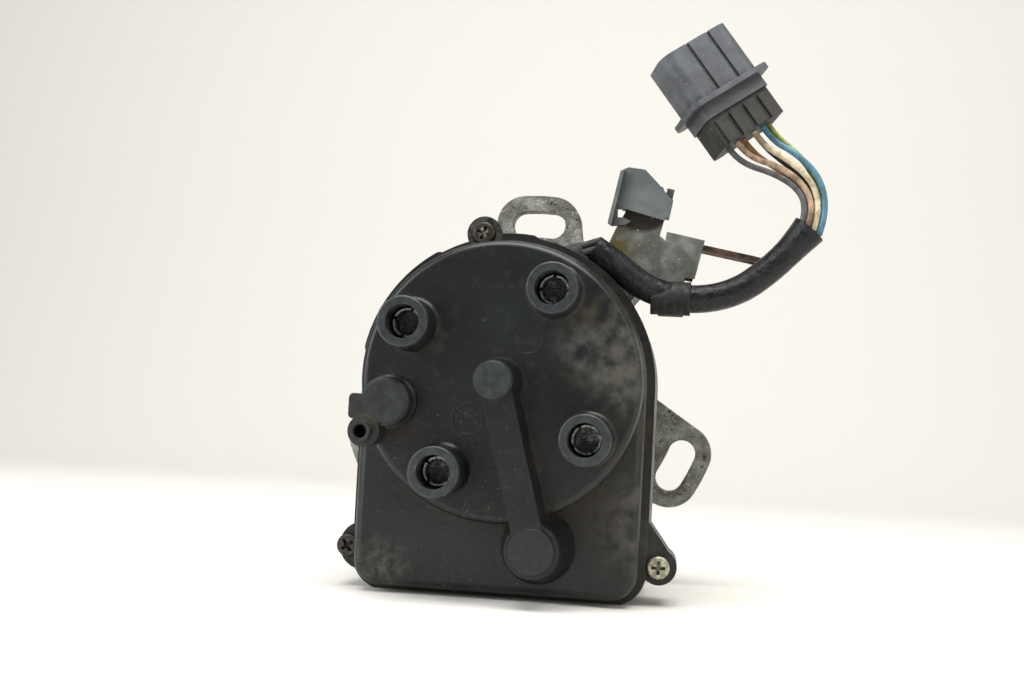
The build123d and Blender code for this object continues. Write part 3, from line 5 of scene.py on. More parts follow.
import bpy
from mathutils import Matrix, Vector


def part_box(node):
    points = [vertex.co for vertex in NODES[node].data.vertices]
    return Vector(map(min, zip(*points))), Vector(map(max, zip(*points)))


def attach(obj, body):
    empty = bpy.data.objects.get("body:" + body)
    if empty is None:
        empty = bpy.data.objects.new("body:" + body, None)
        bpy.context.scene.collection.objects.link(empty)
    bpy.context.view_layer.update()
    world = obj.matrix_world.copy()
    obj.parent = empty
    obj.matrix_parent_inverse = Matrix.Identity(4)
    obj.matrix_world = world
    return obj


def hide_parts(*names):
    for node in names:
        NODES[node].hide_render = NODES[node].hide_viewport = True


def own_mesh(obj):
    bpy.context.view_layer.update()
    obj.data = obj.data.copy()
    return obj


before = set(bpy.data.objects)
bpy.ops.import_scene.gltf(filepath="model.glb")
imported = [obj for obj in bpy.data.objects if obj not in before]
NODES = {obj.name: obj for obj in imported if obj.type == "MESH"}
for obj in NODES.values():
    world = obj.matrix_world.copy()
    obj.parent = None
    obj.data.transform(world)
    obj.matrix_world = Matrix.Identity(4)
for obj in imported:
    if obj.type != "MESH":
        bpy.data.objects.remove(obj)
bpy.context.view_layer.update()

MM = 0.001
GROUND_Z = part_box("housing")[0][2]

# Camera of the photograph: nearly level, a little right of the shaft's axis
CAMERA_AT = (64.7 * MM, -558.7 * MM, -8.2 * MM)
CAMERA_TILT = 92.65
CAMERA_ROLL = -3.05
CAMERA_TURN = 7.41
LENS_MM = 49.2
SENSOR_MM = 36.0
NEAREST = 20 * MM

# Faces that meet at more than this many degrees keep a crisp edge between them
CRISP_ANGLE = 32

# Studio in metres: the floor card and, for each lamp, place, aim, size, watts and tint
FLOOR_FRONT, FLOOR_BACK, FLOOR_SIDE, FLOOR_RISE = -1.2, 0.9, 1.6, 1.4
FLOOR_BEND = 0.35
BEND_STEPS = 12
AIR_STRENGTH = 0.42
SOFTBOXES = (
    ("top softbox", (0.05, -0.25, 0.85), (0.0, -0.05, 0.0), (0.9, 0.7), 15.0, "fffdf8"),
    ("left softbox", (-0.8, -0.6, 0.35), (0.0, -0.05, 0.0), (0.5, 0.8), 8.0, "f8fbff"),
    ("right softbox", (0.8, -0.5, 0.25), (0.05, -0.05, 0.0), (0.4, 0.8), 2.5, "fffaf2"),
)

# Steps of a cord's roundness and along each run of its route
ROUND_STEPS = 6
RUN_STEPS = 12

# Harness: the routes' points, in millimetres, as the solids have them
SLEEVE_D = 10.0
SLEEVE_FLARE = 1.25
SLEEVE_ROUTE = [
    (26.6, -64.5, 49.4), (33.6, -63.2, 45.1), (43.4, -60.0, 37.4), (54.8, -57.6, 33.6), (66.9, -56.9, 33.4),
    (78.9, -56.9, 37.2), (89.0, -56.9, 45.2), (96.4, -56.9, 53.0), (102.0, -56.9, 60.0),
]
CORD_SOLIDS = ("wire_", "harness_sleeve")
WIRE_D = 2.2
WIRE_ROUTES = {
    "wire_grey": [(99.39, -58.2, 62.66), (100.5, -58.2, 67.8), (97.3, -58.2, 74.3),
                  (88.9, -58.8, 79.2), (76.38, -61.31, 82.19), (72.41, -61.31, 87.42)],
    "wire_tan": [(101.34, -58.2, 61.1), (103.0, -58.2, 67.2), (99.8, -58.2, 75.4),
                 (90.9, -58.4, 81.9), (79.38, -59.94, 84.46), (75.4, -59.94, 89.69)],
    "wire_cream": [(103.37, -58.2, 59.48), (105.4, -58.2, 66.4), (102.4, -58.2, 77.2),
                   (92.9, -58.2, 84.9), (85.21, -57.28, 88.89), (81.24, -57.28, 94.12)],
    "wire_blue": [(105.33, -58.2, 57.92), (107.8, -58.2, 65.7), (105.0, -58.2, 78.8),
                  (95.2, -57.6, 87.5), (88.21, -55.91, 91.16), (84.24, -55.91, 96.4)],
    "wire_orange": [(100.33, -55.6, 61.91), (101.6, -55.6, 67.2), (98.4, -55.6, 75.0),
                    (90.6, -55.6, 81.2), (81.63, -56.04, 86.17), (77.66, -56.04, 91.41)],
    "wire_black": [(102.36, -55.6, 60.29), (104.1, -55.6, 66.6), (101.0, -55.6, 76.6),
                   (92.6, -55.2, 83.8), (85.53, -54.26, 89.13), (81.55, -54.26, 94.36)],
    "wire_green": [(104.39, -55.6, 58.66), (106.5, -55.6, 65.9), (103.9, -55.6, 78.6),
                   (95.9, -54.6, 88.4), (90.15, -52.68, 92.64), (86.18, -52.68, 97.87)],
}
WIRE_COLOURS = {
    "wire_grey": ("55585a", "2d2b28"), "wire_tan": ("b0967b", "5b4a39"),
    "wire_cream": ("cfc4a9", "86765d"), "wire_blue": ("4a7b92", "35525e"),
    "wire_orange": ("b9835a", "6d4c35"), "wire_black": ("17181a", "2d2b29"),
    "wire_green": ("98ad48", "606a32"),
}

# Brush spring: wire in millimetres, turns, points for each turn and steps along each run between them
SPRING_WIRE = 0.3
SPRING_TURNS = 5
SPRING_STEPS = 16
SPRING_RUN_STEPS = 2

# Dust on the cap as spot, reach, softness and grain in millimetres, oily dirt as spot, reach and softness
DUSTY = (
    ((34, -97, 14), 7, 13, 6.0), ((45, -92, 2), 5, 14, 4.0), ((49, -88, -45), 6, 20, 5.0),
    ((-38, -90, -64), 2, 12, 3.0), ((-11, -77, 53), 6, 2, 1.5),
)
OILY = (
    ((28, -97, 24), 2, 6), ((-22, -97, 12), 1, 5), ((40, -97, -25), 1, 6), ((11, -97, -24), 1, 7),
    ((33, -90, -42), 4, 10), ((-32, -97, -17), 2, 6), ((48, -84, -16), 3, 9),
)

# Places on the cap: specks of dust, the depths where the towers' rims are clean and rubbed, two screws
SPECKLED = (-30, -90, -55)
RIM_CLEAN_Y = -111.3
RIM_RUBBED_Y = -112.3
TOP_SCREW = (-11, -78, 52)
LEFT_SCREW = (-53, -78, -59)

# Depths where the painted shade inside the contact cups begins and where it is darkest, and two stained
# places of the bracket
CUP_UNSHADED_Y = -103.5
CUP_SHADED_Y = -99.0
OLIVE_SPOT = (37, -50, 55)
TONGUE = (43, -50, 68)


def linear(hexa):
    """sRGB hex colour as the linear colour that a shader takes."""
    out = []
    for at in (0, 2, 4):
        share = int(hexa[at:at + 2], 16) / 255
        out.append(share / 12.92 if share <= 0.04045 else ((share + 0.055) / 1.055) ** 2.4)
    return (*out, 1.0)


def per_metre(size_mm):
    """Texture scale whose pattern repeats about every size_mm."""
    return 1.0 / (size_mm * MM)


def put(tree, kind, feeds=None, **settings):
    """Adds one node with its settings; feeds gives sockets a value or the socket that drives them."""
    made = tree.nodes.new(kind)
    for name, value in settings.items():
        setattr(made, name, value)
    for name, value in (feeds or {}).items():
        socket = made.inputs[name]
        if isinstance(value, bpy.types.NodeSocket):
            tree.links.new(value, socket)
        else:
            socket.default_value = value
    return made


def start(name, **shader):
    """New material with a Principled shader that has these fixed values."""
    made = bpy.data.materials.new(name)
    made.use_nodes = True
    tree = made.node_tree
    tree.nodes.clear()
    feeds = {key.replace("_", " "): value for key, value in shader.items()}
    surface = put(tree, "ShaderNodeBsdfPrincipled", feeds)
    put(tree, "ShaderNodeOutputMaterial", {"Surface": surface.outputs[0]})
    place = put(tree, "ShaderNodeTexCoord").outputs["Object"]
    return made, tree, surface, place


def grain(tree, place, size_mm, low, high, detail=3.0, rough=0.55, amount=1.0):
    """Cloudy mask of that size: 0 up to low, then rising to amount (a number or another mask) at high."""
    cloud = put(tree, "ShaderNodeTexNoise",
                {"Vector": place, "Scale": per_metre(size_mm), "Detail": detail, "Roughness": rough})
    ramp = put(tree, "ShaderNodeMapRange",
               {"Value": cloud.outputs["Fac"], "From Min": low, "From Max": high, "To Max": amount},
               interpolation_type="SMOOTHSTEP")
    return ramp.outputs["Result"]


def near(tree, place, spot_mm, reach_mm, soft_mm, amount=1.0):
    """Mask round a spot: amount within reach, falling to 0 over soft."""
    away = put(tree, "ShaderNodeVectorMath", {0: place, 1: [v * MM for v in spot_mm]}, operation="DISTANCE")
    ramp = put(tree, "ShaderNodeMapRange",
               {"Value": away.outputs["Value"], "From Min": (reach_mm + soft_mm) * MM,
                "From Max": reach_mm * MM, "To Max": amount},
               interpolation_type="SMOOTHSTEP")
    return ramp.outputs["Result"]


def crevice_shade(tree, reach_mm, low=0.35, high=0.95, amount=1.0):
    """Mask of hollows and inside edges where ambient shade falls, for painting shade there."""
    shade = put(tree, "ShaderNodeAmbientOcclusion", {"Distance": reach_mm * MM}, samples=6)
    ramp = put(tree, "ShaderNodeMapRange",
               {"Value": shade.outputs["AO"], "From Min": high, "From Max": low, "To Max": amount})
    return ramp.outputs["Result"]


def gathered(tree, masks):
    """One mask out of several: their sum, held at 1."""
    whole = masks[0]
    for part in masks[1:]:
        whole = put(tree, "ShaderNodeMath", {0: whole, 1: part}, operation="ADD", use_clamp=True).outputs[0]
    return whole


def layer(tree, mask, under, over):
    """Colour over laid on colour under where the mask is 1."""
    mix = put(tree, "ShaderNodeMix", {"Factor": mask}, data_type="RGBA")
    for socket, value in ((mix.inputs[6], under), (mix.inputs[7], over)):
        if isinstance(value, bpy.types.NodeSocket):
            tree.links.new(value, socket)
        else:
            socket.default_value = value
    return mix.outputs[2]


def level(tree, mask, low, high):
    """Number that runs from low to high with the mask."""
    ramp = put(tree, "ShaderNodeMapRange", {"Value": mask, "To Min": low, "To Max": high})
    return ramp.outputs["Result"]


def relief(tree, surface, height, depth_mm, edge_mm=0.0):
    """Bump of that depth, on edges rounded by edge_mm."""
    bump = put(tree, "ShaderNodeBump", {"Height": height, "Distance": depth_mm * MM, "Strength": 1.0})
    if edge_mm:
        edge = put(tree, "ShaderNodeBevel", {"Radius": edge_mm * MM}, samples=4)
        tree.links.new(edge.outputs["Normal"], bump.inputs["Normal"])
    tree.links.new(bump.outputs["Normal"], surface.inputs["Normal"])


def feed(tree, surface, **sources):
    """Links each source to the shader's socket of that name."""
    for name, source in sources.items():
        tree.links.new(source, surface.inputs[name.replace("_", " ")])


def coat(tree, surface, place, colour, cloud_mm, glossy, dull):
    """Colour, with a roughness that drifts from glossy to dull over clouds of that size."""
    drift = level(tree, grain(tree, place, cloud_mm, 0.3, 0.7), glossy, dull)
    feed(tree, surface, Base_Color=colour, Roughness=drift)


def cap_plastic():
    """Glass-filled moulded plastic: satin black, grey on the rubbed rims of the towers, dusty and oily, with
    painted shade, brown, in its hollows and inside edges.
    """
    made, tree, surface, place = start("cap moulded plastic", IOR=1.5, Specular_IOR_Level=0.36)
    colour = layer(tree, grain(tree, place, 30, 0.3, 0.75, 2), linear("0c0e0f"), linear("171b1d"))
    depth = put(tree, "ShaderNodeSeparateXYZ", {"Vector": place}).outputs["Y"]
    patchy = level(tree, grain(tree, place, 2.5, 0.3, 0.7), 0.45, 1.0)
    rims = put(tree, "ShaderNodeMapRange",
               {"Value": depth, "From Min": RIM_CLEAN_Y * MM, "From Max": RIM_RUBBED_Y * MM,
                "To Max": patchy})
    colour = layer(tree, rims.outputs["Result"], colour, linear("303437"))
    dust = gathered(tree, [
        grain(tree, place, size, 0.32, 0.72, 5, amount=near(tree, place, spot, reach, soft))
        for spot, reach, soft, size in DUSTY
    ])
    film = grain(tree, place, 3.0, 0.5, 0.85, 8, amount=0.1)
    colour = layer(tree, gathered(tree, [level(tree, dust, 0.0, 0.36), film]), colour, linear("6a675d"))
    # Painted shade: hollows and inside edges darkened brown from an ambient-occlusion mask, joined with the
    # oily spots below
    corner_shade = grain(tree, place, 6, 0.3, 0.65, 5, amount=crevice_shade(tree, 4.5, 0.45, 0.85))
    dirt_and_shade = gathered(tree, [corner_shade] + [
        grain(tree, place, 3.5, 0.35, 0.65, 6, amount=near(tree, place, spot, reach, soft))
        for spot, reach, soft in OILY
    ])
    # One brown laid over the real oily spots and over the painted shade in the hollows
    colour = layer(tree, level(tree, dirt_and_shade, 0.0, 0.6), colour, linear("3a3120"))
    specks = grain(tree, place, 0.9, 0.66, 0.72, 2, amount=near(tree, place, SPECKLED, 25, 50, amount=0.4))
    colour = layer(tree, specks, colour, linear("7b7b75"))
    dull = gathered(tree, [dust, dirt_and_shade, film])
    feed(tree, surface, Base_Color=colour, Roughness=level(tree, dull, 0.32, 0.7))
    relief(tree, surface, grain(tree, place, 0.6, 0.2, 0.8, 4), 0.025, 0.35)
    return made


def elbow_plastic():
    """Softer black plastic of the breather, a shade greyer and duller than the cap, with painted shade,
    brown, in its hollows.
    """
    made, tree, surface, place = start("breather plastic", IOR=1.5, Specular_IOR_Level=0.4)
    colour = layer(tree, grain(tree, place, 6, 0.35, 0.7, 5), linear("16191b"), linear("24282a"))
    # Painted shade: hollows darkened brown from an ambient-occlusion mask
    darkening = grain(tree, place, 5, 0.35, 0.6, amount=crevice_shade(tree, 5, amount=0.8))
    colour = layer(tree, darkening, colour, linear("4a3f28"))
    coat(tree, surface, place, colour, 3, 0.42, 0.62)
    relief(tree, surface, grain(tree, place, 0.5, 0.2, 0.8), 0.03, 0.4)
    return made


def cast_aluminium():
    """Die-cast aluminium gone dull grey: cloudy, salty and pitted, with dark stains of oil and painted shade
    in the hollows.
    """
    made, tree, surface, place = start("die cast aluminium")
    colour = layer(tree, grain(tree, place, 7, 0.35, 0.68, 8), linear("66665e"), linear("90928c"))
    darkening = grain(tree, place, 12, 0.5, 0.64, 9)
    colour = layer(tree, level(tree, darkening, 0.0, 0.75), colour, linear("413e35"))
    salt = grain(tree, place, 1.5, 0.54, 0.7, 6, amount=0.42)
    colour = layer(tree, salt, colour, linear("bcbfbb"))
    pit = grain(tree, place, 1.9, 0.6, 0.66, 5, amount=0.8)
    colour = layer(tree, pit, colour, linear("2b2a26"))
    # Painted shade: hollows darkened from an ambient-occlusion mask
    colour = layer(tree, crevice_shade(tree, 7, amount=0.6), colour, linear("33302a"))
    coat(tree, surface, place, colour, 4, 0.45, 0.75)
    feed(tree, surface, Metallic=level(tree, darkening, 0.75, 0.2))
    relief(tree, surface, grain(tree, place, 0.9, 0.3, 0.75, 6), 0.12, 0.5)
    return made


def turned_metal(name, light, dark, ring_mm=0.25, glossy=0.3):
    """Steel or another metal off a lathe: fine rings round the shaft and a thin oily film."""
    made, tree, surface, place = start(name, Metallic=1.0)
    depth = put(tree, "ShaderNodeSeparateXYZ", {"Vector": place}).outputs["Y"]
    along = put(tree, "ShaderNodeMath", {0: depth, 1: per_metre(ring_mm)}, operation="MULTIPLY")
    rings = put(tree, "ShaderNodeTexNoise", {"W": along.outputs[0], "Scale": 1.0, "Detail": 2.0},
                noise_dimensions="1D").outputs["Fac"]
    colour = layer(tree, rings, linear(dark), linear(light))
    colour = layer(tree, grain(tree, place, 5, 0.5, 0.75, 5, amount=0.5), colour, linear("4a4238"))
    coat(tree, surface, place, colour, 3, glossy, glossy + 0.2)
    relief(tree, surface, rings, 0.02, 0.25)
    return made


def zinc_plate():
    """Zinc-plated steel gone yellowish and dull: painted shade near black in the recesses, two of the cap's
    screws black.
    """
    made, tree, surface, place = start("zinc plated steel", Metallic=0.85)
    colour = layer(tree, grain(tree, place, 1.5, 0.35, 0.7, 5), linear("8a8772"), linear("c9c7b8"))
    # Painted shade: recesses darkened near black from an ambient-occlusion mask
    colour = layer(tree, crevice_shade(tree, 1.6, 0.3, 0.9, amount=0.95), colour, linear("12110f"))
    rust = grain(tree, place, 2.2, 0.58, 0.72, 5, amount=0.6)
    colour = layer(tree, rust, colour, linear("6a4a2c"))
    round_middle = level(tree, near(tree, place, TOP_SCREW, 1.2, 1.0), 1.0, 0.0)
    black = gathered(tree, [
        near(tree, place, LEFT_SCREW, 6, 1), near(tree, place, TOP_SCREW, 6, 1, amount=round_middle),
    ])
    colour = layer(tree, level(tree, black, 0.0, 0.9), colour, linear("1d1c1a"))
    coat(tree, surface, place, colour, 1, 0.32, 0.6)
    relief(tree, surface, grain(tree, place, 0.35, 0.3, 0.7), 0.03, 0.2)
    return made


def stamped_aluminium():
    """Contact cups of thin aluminium, scratched by lead terminals and dark at the bottom with painted shade.
    """
    made, tree, surface, place = start("stamped aluminium", Metallic=0.9)
    colour = layer(tree, grain(tree, place, 0.9, 0.35, 0.7, 5), linear("7a7e7c"), linear("c4c8c6"))
    depth = put(tree, "ShaderNodeSeparateXYZ", {"Vector": place}).outputs["Y"]
    # Painted shade: the cups darken towards their bottoms
    floor = put(tree, "ShaderNodeMapRange",
                {"Value": depth, "From Min": CUP_UNSHADED_Y * MM, "From Max": CUP_SHADED_Y * MM, "To Max": 0.85})
    cup_floor_shade = grain(tree, place, 3, 0.2, 0.5, amount=floor.outputs["Result"])
    colour = layer(tree, cup_floor_shade, colour, linear("262a28"))
    coat(tree, surface, place, colour, 0.6, 0.25, 0.55)
    relief(tree, surface, grain(tree, place, 0.3, 0.3, 0.7), 0.04, 0.15)
    return made


def plated_sheet():
    """Zinc-plated sheet: streaky grey, greenish brown where oil and water dried, black on the tongue."""
    made, tree, surface, place = start("plated sheet steel", Metallic=0.55)
    colour = layer(tree, grain(tree, place, 4, 0.35, 0.7, 8), linear("575954"), linear("7f817c"))
    olive = grain(tree, place, 9, 0.42, 0.62, 6, amount=near(tree, place, OLIVE_SPOT, 6, 10, amount=0.9))
    colour = layer(tree, olive, colour, linear("5b5226"))
    black = grain(tree, place, 2, 0.1, 0.4, 6, amount=near(tree, place, TONGUE, 9, 2.5, amount=0.95))
    colour = layer(tree, black, colour, linear("211b17"))
    fleck = grain(tree, place, 1.0, 0.62, 0.7, 4, amount=0.55)
    colour = layer(tree, fleck, colour, linear("2e2a1e"))
    salt = grain(tree, place, 1.8, 0.64, 0.7, 4, amount=0.6)
    colour = layer(tree, salt, colour, linear("b7b8ae"))
    coat(tree, surface, place, colour, 2, 0.45, 0.75)
    relief(tree, surface, grain(tree, place, 0.7, 0.3, 0.7, 5), 0.06, 0.25)
    return made


def rusted_strip():
    """Bare steel strip under an even brown rust."""
    made, tree, surface, place = start("rusted steel strip", Metallic=0.3)
    colour = layer(tree, grain(tree, place, 2.5, 0.3, 0.7, 8), linear("2a211c"), linear("5e4635"))
    coat(tree, surface, place, colour, 1, 0.6, 0.85)
    relief(tree, surface, grain(tree, place, 0.5, 0.3, 0.7, 5), 0.1, 0.25)
    return made


def stamped_brass():
    """Stamped brass, tarnished brown away from the rubbed places."""
    made, tree, surface, place = start("stamped brass", Metallic=1.0)
    colour = layer(tree, grain(tree, place, 3, 0.35, 0.65, 5), linear("7a5c28"), linear("c9a860"))
    coat(tree, surface, place, colour, 1.5, 0.25, 0.5)
    relief(tree, surface, grain(tree, place, 0.4, 0.3, 0.7), 0.02, 0.15)
    return made


def moulded_rubber():
    """Moulded rubber: soft black with a grey bloom."""
    made, tree, surface, place = start("moulded rubber", IOR=1.5)
    colour = layer(tree, grain(tree, place, 4, 0.35, 0.7, 5), linear("161718"), linear("303132"))
    coat(tree, surface, place, colour, 2, 0.55, 0.8)
    relief(tree, surface, grain(tree, place, 0.7, 0.3, 0.7), 0.05, 0.3)
    return made


def vinyl_tube():
    """Extruded vinyl tube: black, glossy where clean, grey where rubbed, with soft dents."""
    made, tree, surface, place = start("vinyl tube", IOR=1.5, Specular_IOR_Level=0.3)
    colour = layer(tree, grain(tree, place, 6, 0.4, 0.72, 6), linear("0d0e10"), linear("1d1f22"))
    scuff = grain(tree, place, 2, 0.6, 0.75, 6, amount=0.3)
    colour = layer(tree, scuff, colour, linear("4b4b48"))
    coat(tree, surface, place, colour, 3, 0.24, 0.5)
    relief(tree, surface, grain(tree, place, 2.5, 0.3, 0.7, 4), 0.18, 0.3)
    return made


def cloth_tape():
    """Cloth tape soaked in oil: brown-black, its weave drawn coarse enough to show."""
    made, tree, surface, place = start("oily cloth tape", IOR=1.45)
    colour = layer(tree, grain(tree, place, 3, 0.35, 0.7, 6), linear("0d0c0c"), linear("1d1b19"))
    coat(tree, surface, place, colour, 2, 0.5, 0.8)
    weave = put(tree, "ShaderNodeTexWave", {"Vector": place, "Scale": per_metre(9), "Distortion": 3.0},
                wave_type="BANDS", bands_direction="X")
    relief(tree, surface, weave.outputs["Fac"], 0.1, 1.2)
    return made


def wire_vinyl(name, clean, dirty):
    """Wire insulation: semi-gloss vinyl in its own colour, browned by oil in streaks."""
    made, tree, surface, place = start(name, IOR=1.5)
    oil = grain(tree, place, 4, 0.35, 0.65, 6, amount=0.85)
    colour = layer(tree, oil, linear(clean), linear(dirty))
    speck = grain(tree, place, 1.0, 0.6, 0.7, 4, amount=0.6)
    colour = layer(tree, speck, colour, linear("2a241c"))
    coat(tree, surface, place, colour, 2, 0.3, 0.55)
    relief(tree, surface, grain(tree, place, 0.8, 0.3, 0.7), 0.03)
    return made


def nylon(name, base, pale, dirt_and_shade, glossy=0.5):
    """Moulded nylon: even and slightly waxy, with dust on top and painted shade in its hollows and inside
    edges.
    """
    made, tree, surface, place = start(name, IOR=1.53)
    colour = layer(tree, grain(tree, place, 7, 0.35, 0.7, 5), linear(base), linear(pale))
    # Painted shade: hollows and inside edges darkened with the given colour from an ambient-occlusion mask
    corner_shade = grain(tree, place, 2.5, 0.2, 0.55, amount=crevice_shade(tree, 4.5, 0.45, 0.9, amount=0.8))
    colour = layer(tree, corner_shade, colour, linear(dirt_and_shade))
    streak = grain(tree, place, 1.4, 0.62, 0.75, 6, amount=0.45)
    colour = layer(tree, streak, colour, linear("8a8a84"))
    coat(tree, surface, place, colour, 2, glossy, glossy + 0.2)
    relief(tree, surface, grain(tree, place, 0.5, 0.3, 0.7), 0.03, 0.25)
    return made


def potting_resin():
    """Potting resin of coil, sensors and module: near black, smooth, with a faint flow pattern."""
    made, tree, surface, place = start("potting resin", IOR=1.55)
    colour = layer(tree, grain(tree, place, 5, 0.35, 0.7, 4), linear("17181a"), linear("2a2b2d"))
    coat(tree, surface, place, colour, 2, 0.3, 0.5)
    relief(tree, surface, grain(tree, place, 1.5, 0.3, 0.7), 0.03, 0.3)
    return made


def rotor_thermoset():
    """Brown-black thermoset of the rotor, matt with sooty flow marks."""
    made, tree, surface, place = start("rotor thermoset", IOR=1.55)
    colour = layer(tree, grain(tree, place, 4, 0.35, 0.7, 5), linear("2a211b"), linear("43362b"))
    coat(tree, surface, place, colour, 2, 0.4, 0.6)
    relief(tree, surface, grain(tree, place, 0.8, 0.3, 0.7), 0.03, 0.3)
    return made


def pressed_carbon():
    """Pressed carbon of the brush: dark grey, fine grained and slightly shiny where it rubs."""
    made, tree, surface, place = start("pressed carbon", IOR=1.6)
    colour = layer(tree, grain(tree, place, 0.6, 0.35, 0.7, 4), linear("1c1c1e"), linear("3c3c40"))
    coat(tree, surface, place, colour, 0.5, 0.35, 0.6)
    relief(tree, surface, grain(tree, place, 0.3, 0.3, 0.7), 0.02)
    return made


def dress(material, *nodes):
    """Gives the solids this material."""
    for name in nodes:
        data = NODES[name].data
        data.materials.clear()
        data.materials.append(material)


def smooth(obj):
    """Smooth shading on round faces only, so that edges stay crisp."""
    data = obj.data
    limit = math.cos(math.radians(CRISP_ANGLE))
    data.polygons.foreach_set("use_smooth", [True] * len(data.polygons))
    sides = {}
    for face in data.polygons:
        for key in face.edge_keys:
            sides.setdefault(key, []).append(face.normal)
    sharp = {key for key, found in sides.items() if len(found) != 2 or found[0].dot(found[1]) < limit}
    for edge in data.edges:
        edge.use_edge_sharp = edge.key in sharp


def curve(name, points, diameter, flare=1.0):
    """Smooth cord along the route's points, its last end widened by flare."""
    data = bpy.data.curves.new(name, "CURVE")
    data.dimensions = "3D"
    data.bevel_depth = diameter / 2 * MM
    data.bevel_resolution = ROUND_STEPS
    data.resolution_u = RUN_STEPS
    data.use_fill_caps = True
    line = data.splines.new("NURBS")
    line.points.add(len(points) - 1)
    for spot, (x, y, z) in zip(line.points, points):
        spot.co = (x * MM, y * MM, z * MM, 1)
    line.points[-1].radius = flare
    line.order_u = 3
    line.use_endpoint_u = True
    made = bpy.data.objects.new(name, data)
    bpy.context.collection.objects.link(made)
    return made


def aim_camera():
    """Camera where the photograph was taken from."""
    lens = bpy.data.cameras.new("photo camera")
    lens.sensor_width = SENSOR_MM
    lens.lens = LENS_MM
    lens.clip_start = NEAREST
    camera = bpy.data.objects.new("photo camera", lens)
    camera.location = CAMERA_AT
    camera.rotation_euler = [math.radians(a) for a in (CAMERA_TILT, CAMERA_ROLL, CAMERA_TURN)]
    bpy.context.collection.objects.link(camera)
    bpy.context.scene.camera = camera


def lay_harness():
    """Sleeve and wires as cords on their own solids' routes."""
    sleeve = curve("sleeve", SLEEVE_ROUTE, SLEEVE_D, SLEEVE_FLARE)
    sleeve.data.materials.append(vinyl_tube())
    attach(sleeve, "case")
    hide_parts("harness_sleeve")
    for name, points in WIRE_ROUTES.items():
        wire = curve(name.replace("_", " ").title().replace(" ", ""), points, WIRE_D)
        wire.data.materials.append(wire_vinyl(name + " vinyl", *WIRE_COLOURS[name]))
        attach(wire, "case")
        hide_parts(name)


def wind_spring():
    """Coil spring behind the carbon brush, wound at one fixed length in its solid's place."""
    low, high = (Vector(corner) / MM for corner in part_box("brush_spring"))
    radius = (high.x - low.x - SPRING_WIRE) / 2
    front, back = low.y + SPRING_WIRE / 2, high.y - SPRING_WIRE / 2
    count = SPRING_TURNS * SPRING_STEPS
    route = []
    for i in range(count + 1):
        turn = math.tau * i / SPRING_STEPS
        route.append((radius * math.cos(turn), back + (front - back) * i / count, radius * math.sin(turn)))
    wound = curve("spring route", route, SPRING_WIRE)
    wound.data.resolution_u = SPRING_RUN_STEPS
    spring = bpy.data.objects.new("brush_coil", bpy.data.meshes.new_from_object(wound))
    bpy.data.objects.remove(wound)
    bpy.context.collection.objects.link(spring)
    spring.data.materials.append(turned_metal("spring steel", "a9abac", "6f7072"))
    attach(spring, "case")
    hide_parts("brush_spring")
    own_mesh(spring)


def dress_solids():
    """Each solid that stays in view gets the finish of its real material."""
    dress(cap_plastic(), "cap")
    dress(elbow_plastic(), "breather_elbow")
    dress(cast_aluminium(), "housing")
    dress(stamped_aluminium(), "tower_terminals")
    dress(stamped_brass(), "cap_conductor", "rotor_contact", "coil_terminal")
    dress(moulded_rubber(), "cap_seal", "oil_seal", "spigot_o_ring", "harness_grommet")
    dress(zinc_plate(), "cap_ferrules", "cap_screws", "retainer_screws", "plate_screws", "sensor_screws",
          "coil_screws", "module_screws", "rotor_screw", "bracket_bolts")
    dress(turned_metal("ground steel", "a9abac", "6f7072"), "shaft", "coupling_pin", "coupling_ring",
          "crank_wheel", "stroke_wheel", "bearing_outer_race", "bearing_inner_race", "bearing_balls",
          "bearing_retainer", "sensor_plate")
    dress(turned_metal("hardened steel", "8f9091", "55565a", 0.6, 0.35), "drive_coupling")
    dress(turned_metal("sintered bronze", "b98a4c", "7d5a30", 0.5, 0.4), "rear_bush")
    dress(pressed_carbon(), "carbon_brush")
    dress(rotor_thermoset(), "rotor_arm", "leak_cover")
    dress(potting_resin(), "crank_sensor", "stroke_sensor", "ignition_coil", "igniter_module")
    dress(plated_sheet(), "bracket")
    dress(rusted_strip(), "bracket_stay")
    dress(nylon("grey nylon clip", "4d5254", "5f6465", "24241f"), "connector_holder")
    dress(nylon("grey nylon shell", "3d4046", "4d5158", "241f16", 0.36), "connector_shell")
    dress(nylon("black nylon block", "131311", "24231f", "0b0a09"), "connector_rear")
    dress(cloth_tape(), "harness_tape")
    dress(turned_metal("tinned brass", "c9cac6", "9a9b98"), "connector_pins")


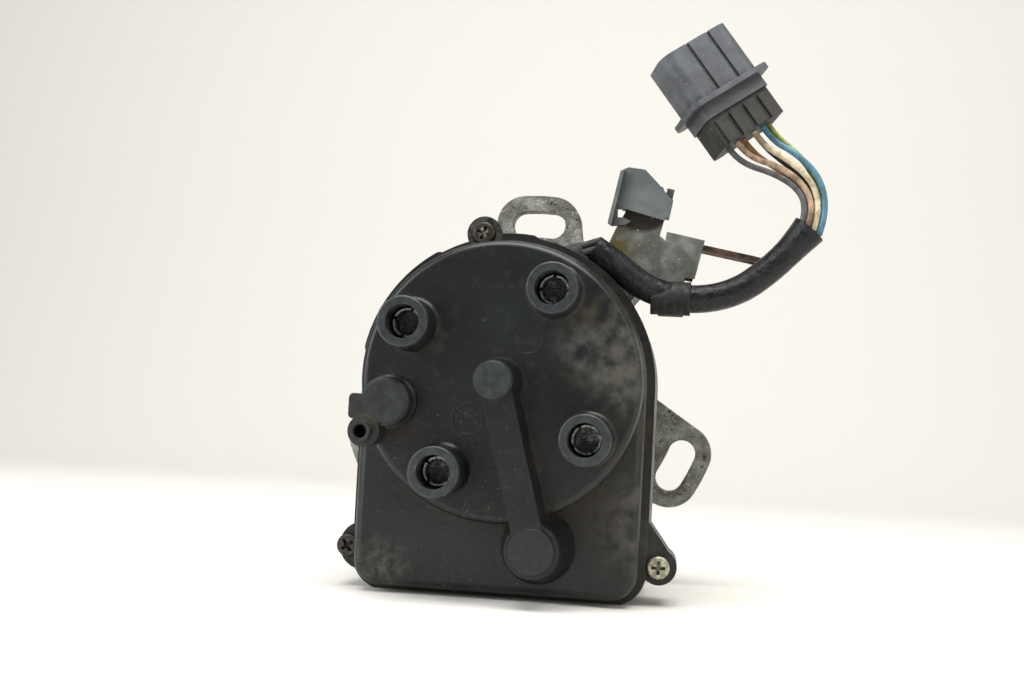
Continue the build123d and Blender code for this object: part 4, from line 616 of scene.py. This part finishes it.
def card_floor():
    """Pale card on the ground that sweeps up behind in one bend."""
    profile = [(FLOOR_FRONT, 0.0), (FLOOR_BACK - FLOOR_BEND, 0.0)]
    for i in range(1, BEND_STEPS + 1):
        turn = math.radians(90 * i / BEND_STEPS)
        profile.append((FLOOR_BACK - FLOOR_BEND + FLOOR_BEND * math.sin(turn),
                        FLOOR_BEND - FLOOR_BEND * math.cos(turn)))
    profile.append((FLOOR_BACK, FLOOR_RISE))
    corner_shade = [(x, y, z + GROUND_Z) for x in (-FLOOR_SIDE, FLOOR_SIDE) for y, z in profile]
    count = len(profile)
    faces = [(i, i + 1, i + 1 + count, i + count) for i in range(count - 1)]
    data = bpy.data.meshes.new("floor")
    data.from_pydata(corner_shade, [], faces)
    data.polygons.foreach_set("use_smooth", [True] * len(faces))
    floor = bpy.data.objects.new("floor", data)
    bpy.context.collection.objects.link(floor)
    data.materials.append(start("pale card", Roughness=0.9, IOR=1.3, Base_Color=linear("dddbd7"))[0])


def light_studio():
    """Soft lamps above, at the left and at the right, in evenly lit air."""
    for name, spot, aim, size, watts, tint in SOFTBOXES:
        light = bpy.data.lights.new(name, "AREA")
        light.shape = "RECTANGLE"
        light.size, light.size_y = size
        light.energy = watts
        light.color = linear(tint)[:3]
        held = bpy.data.objects.new(name, light)
        held.location = spot
        held.rotation_euler = (Vector(aim) - Vector(spot)).to_track_quat("-Z", "Y").to_euler()
        bpy.context.collection.objects.link(held)
    world = bpy.data.worlds.new("studio air")
    bpy.context.scene.world = world
    world.use_nodes = True
    tree = world.node_tree
    tree.nodes.clear()
    air = put(tree, "ShaderNodeBackground", {"Color": linear("e8e8e6"), "Strength": AIR_STRENGTH})
    put(tree, "ShaderNodeOutputWorld", {"Surface": air.outputs[0]})


bpy.context.scene.view_settings.view_transform = "Standard"
aim_camera()
lay_harness()
wind_spring()
dress_solids()
for node in NODES.values():
    if node.type == "MESH" and not node.name.startswith(CORD_SOLIDS):
        smooth(node)
card_floor()
light_studio()
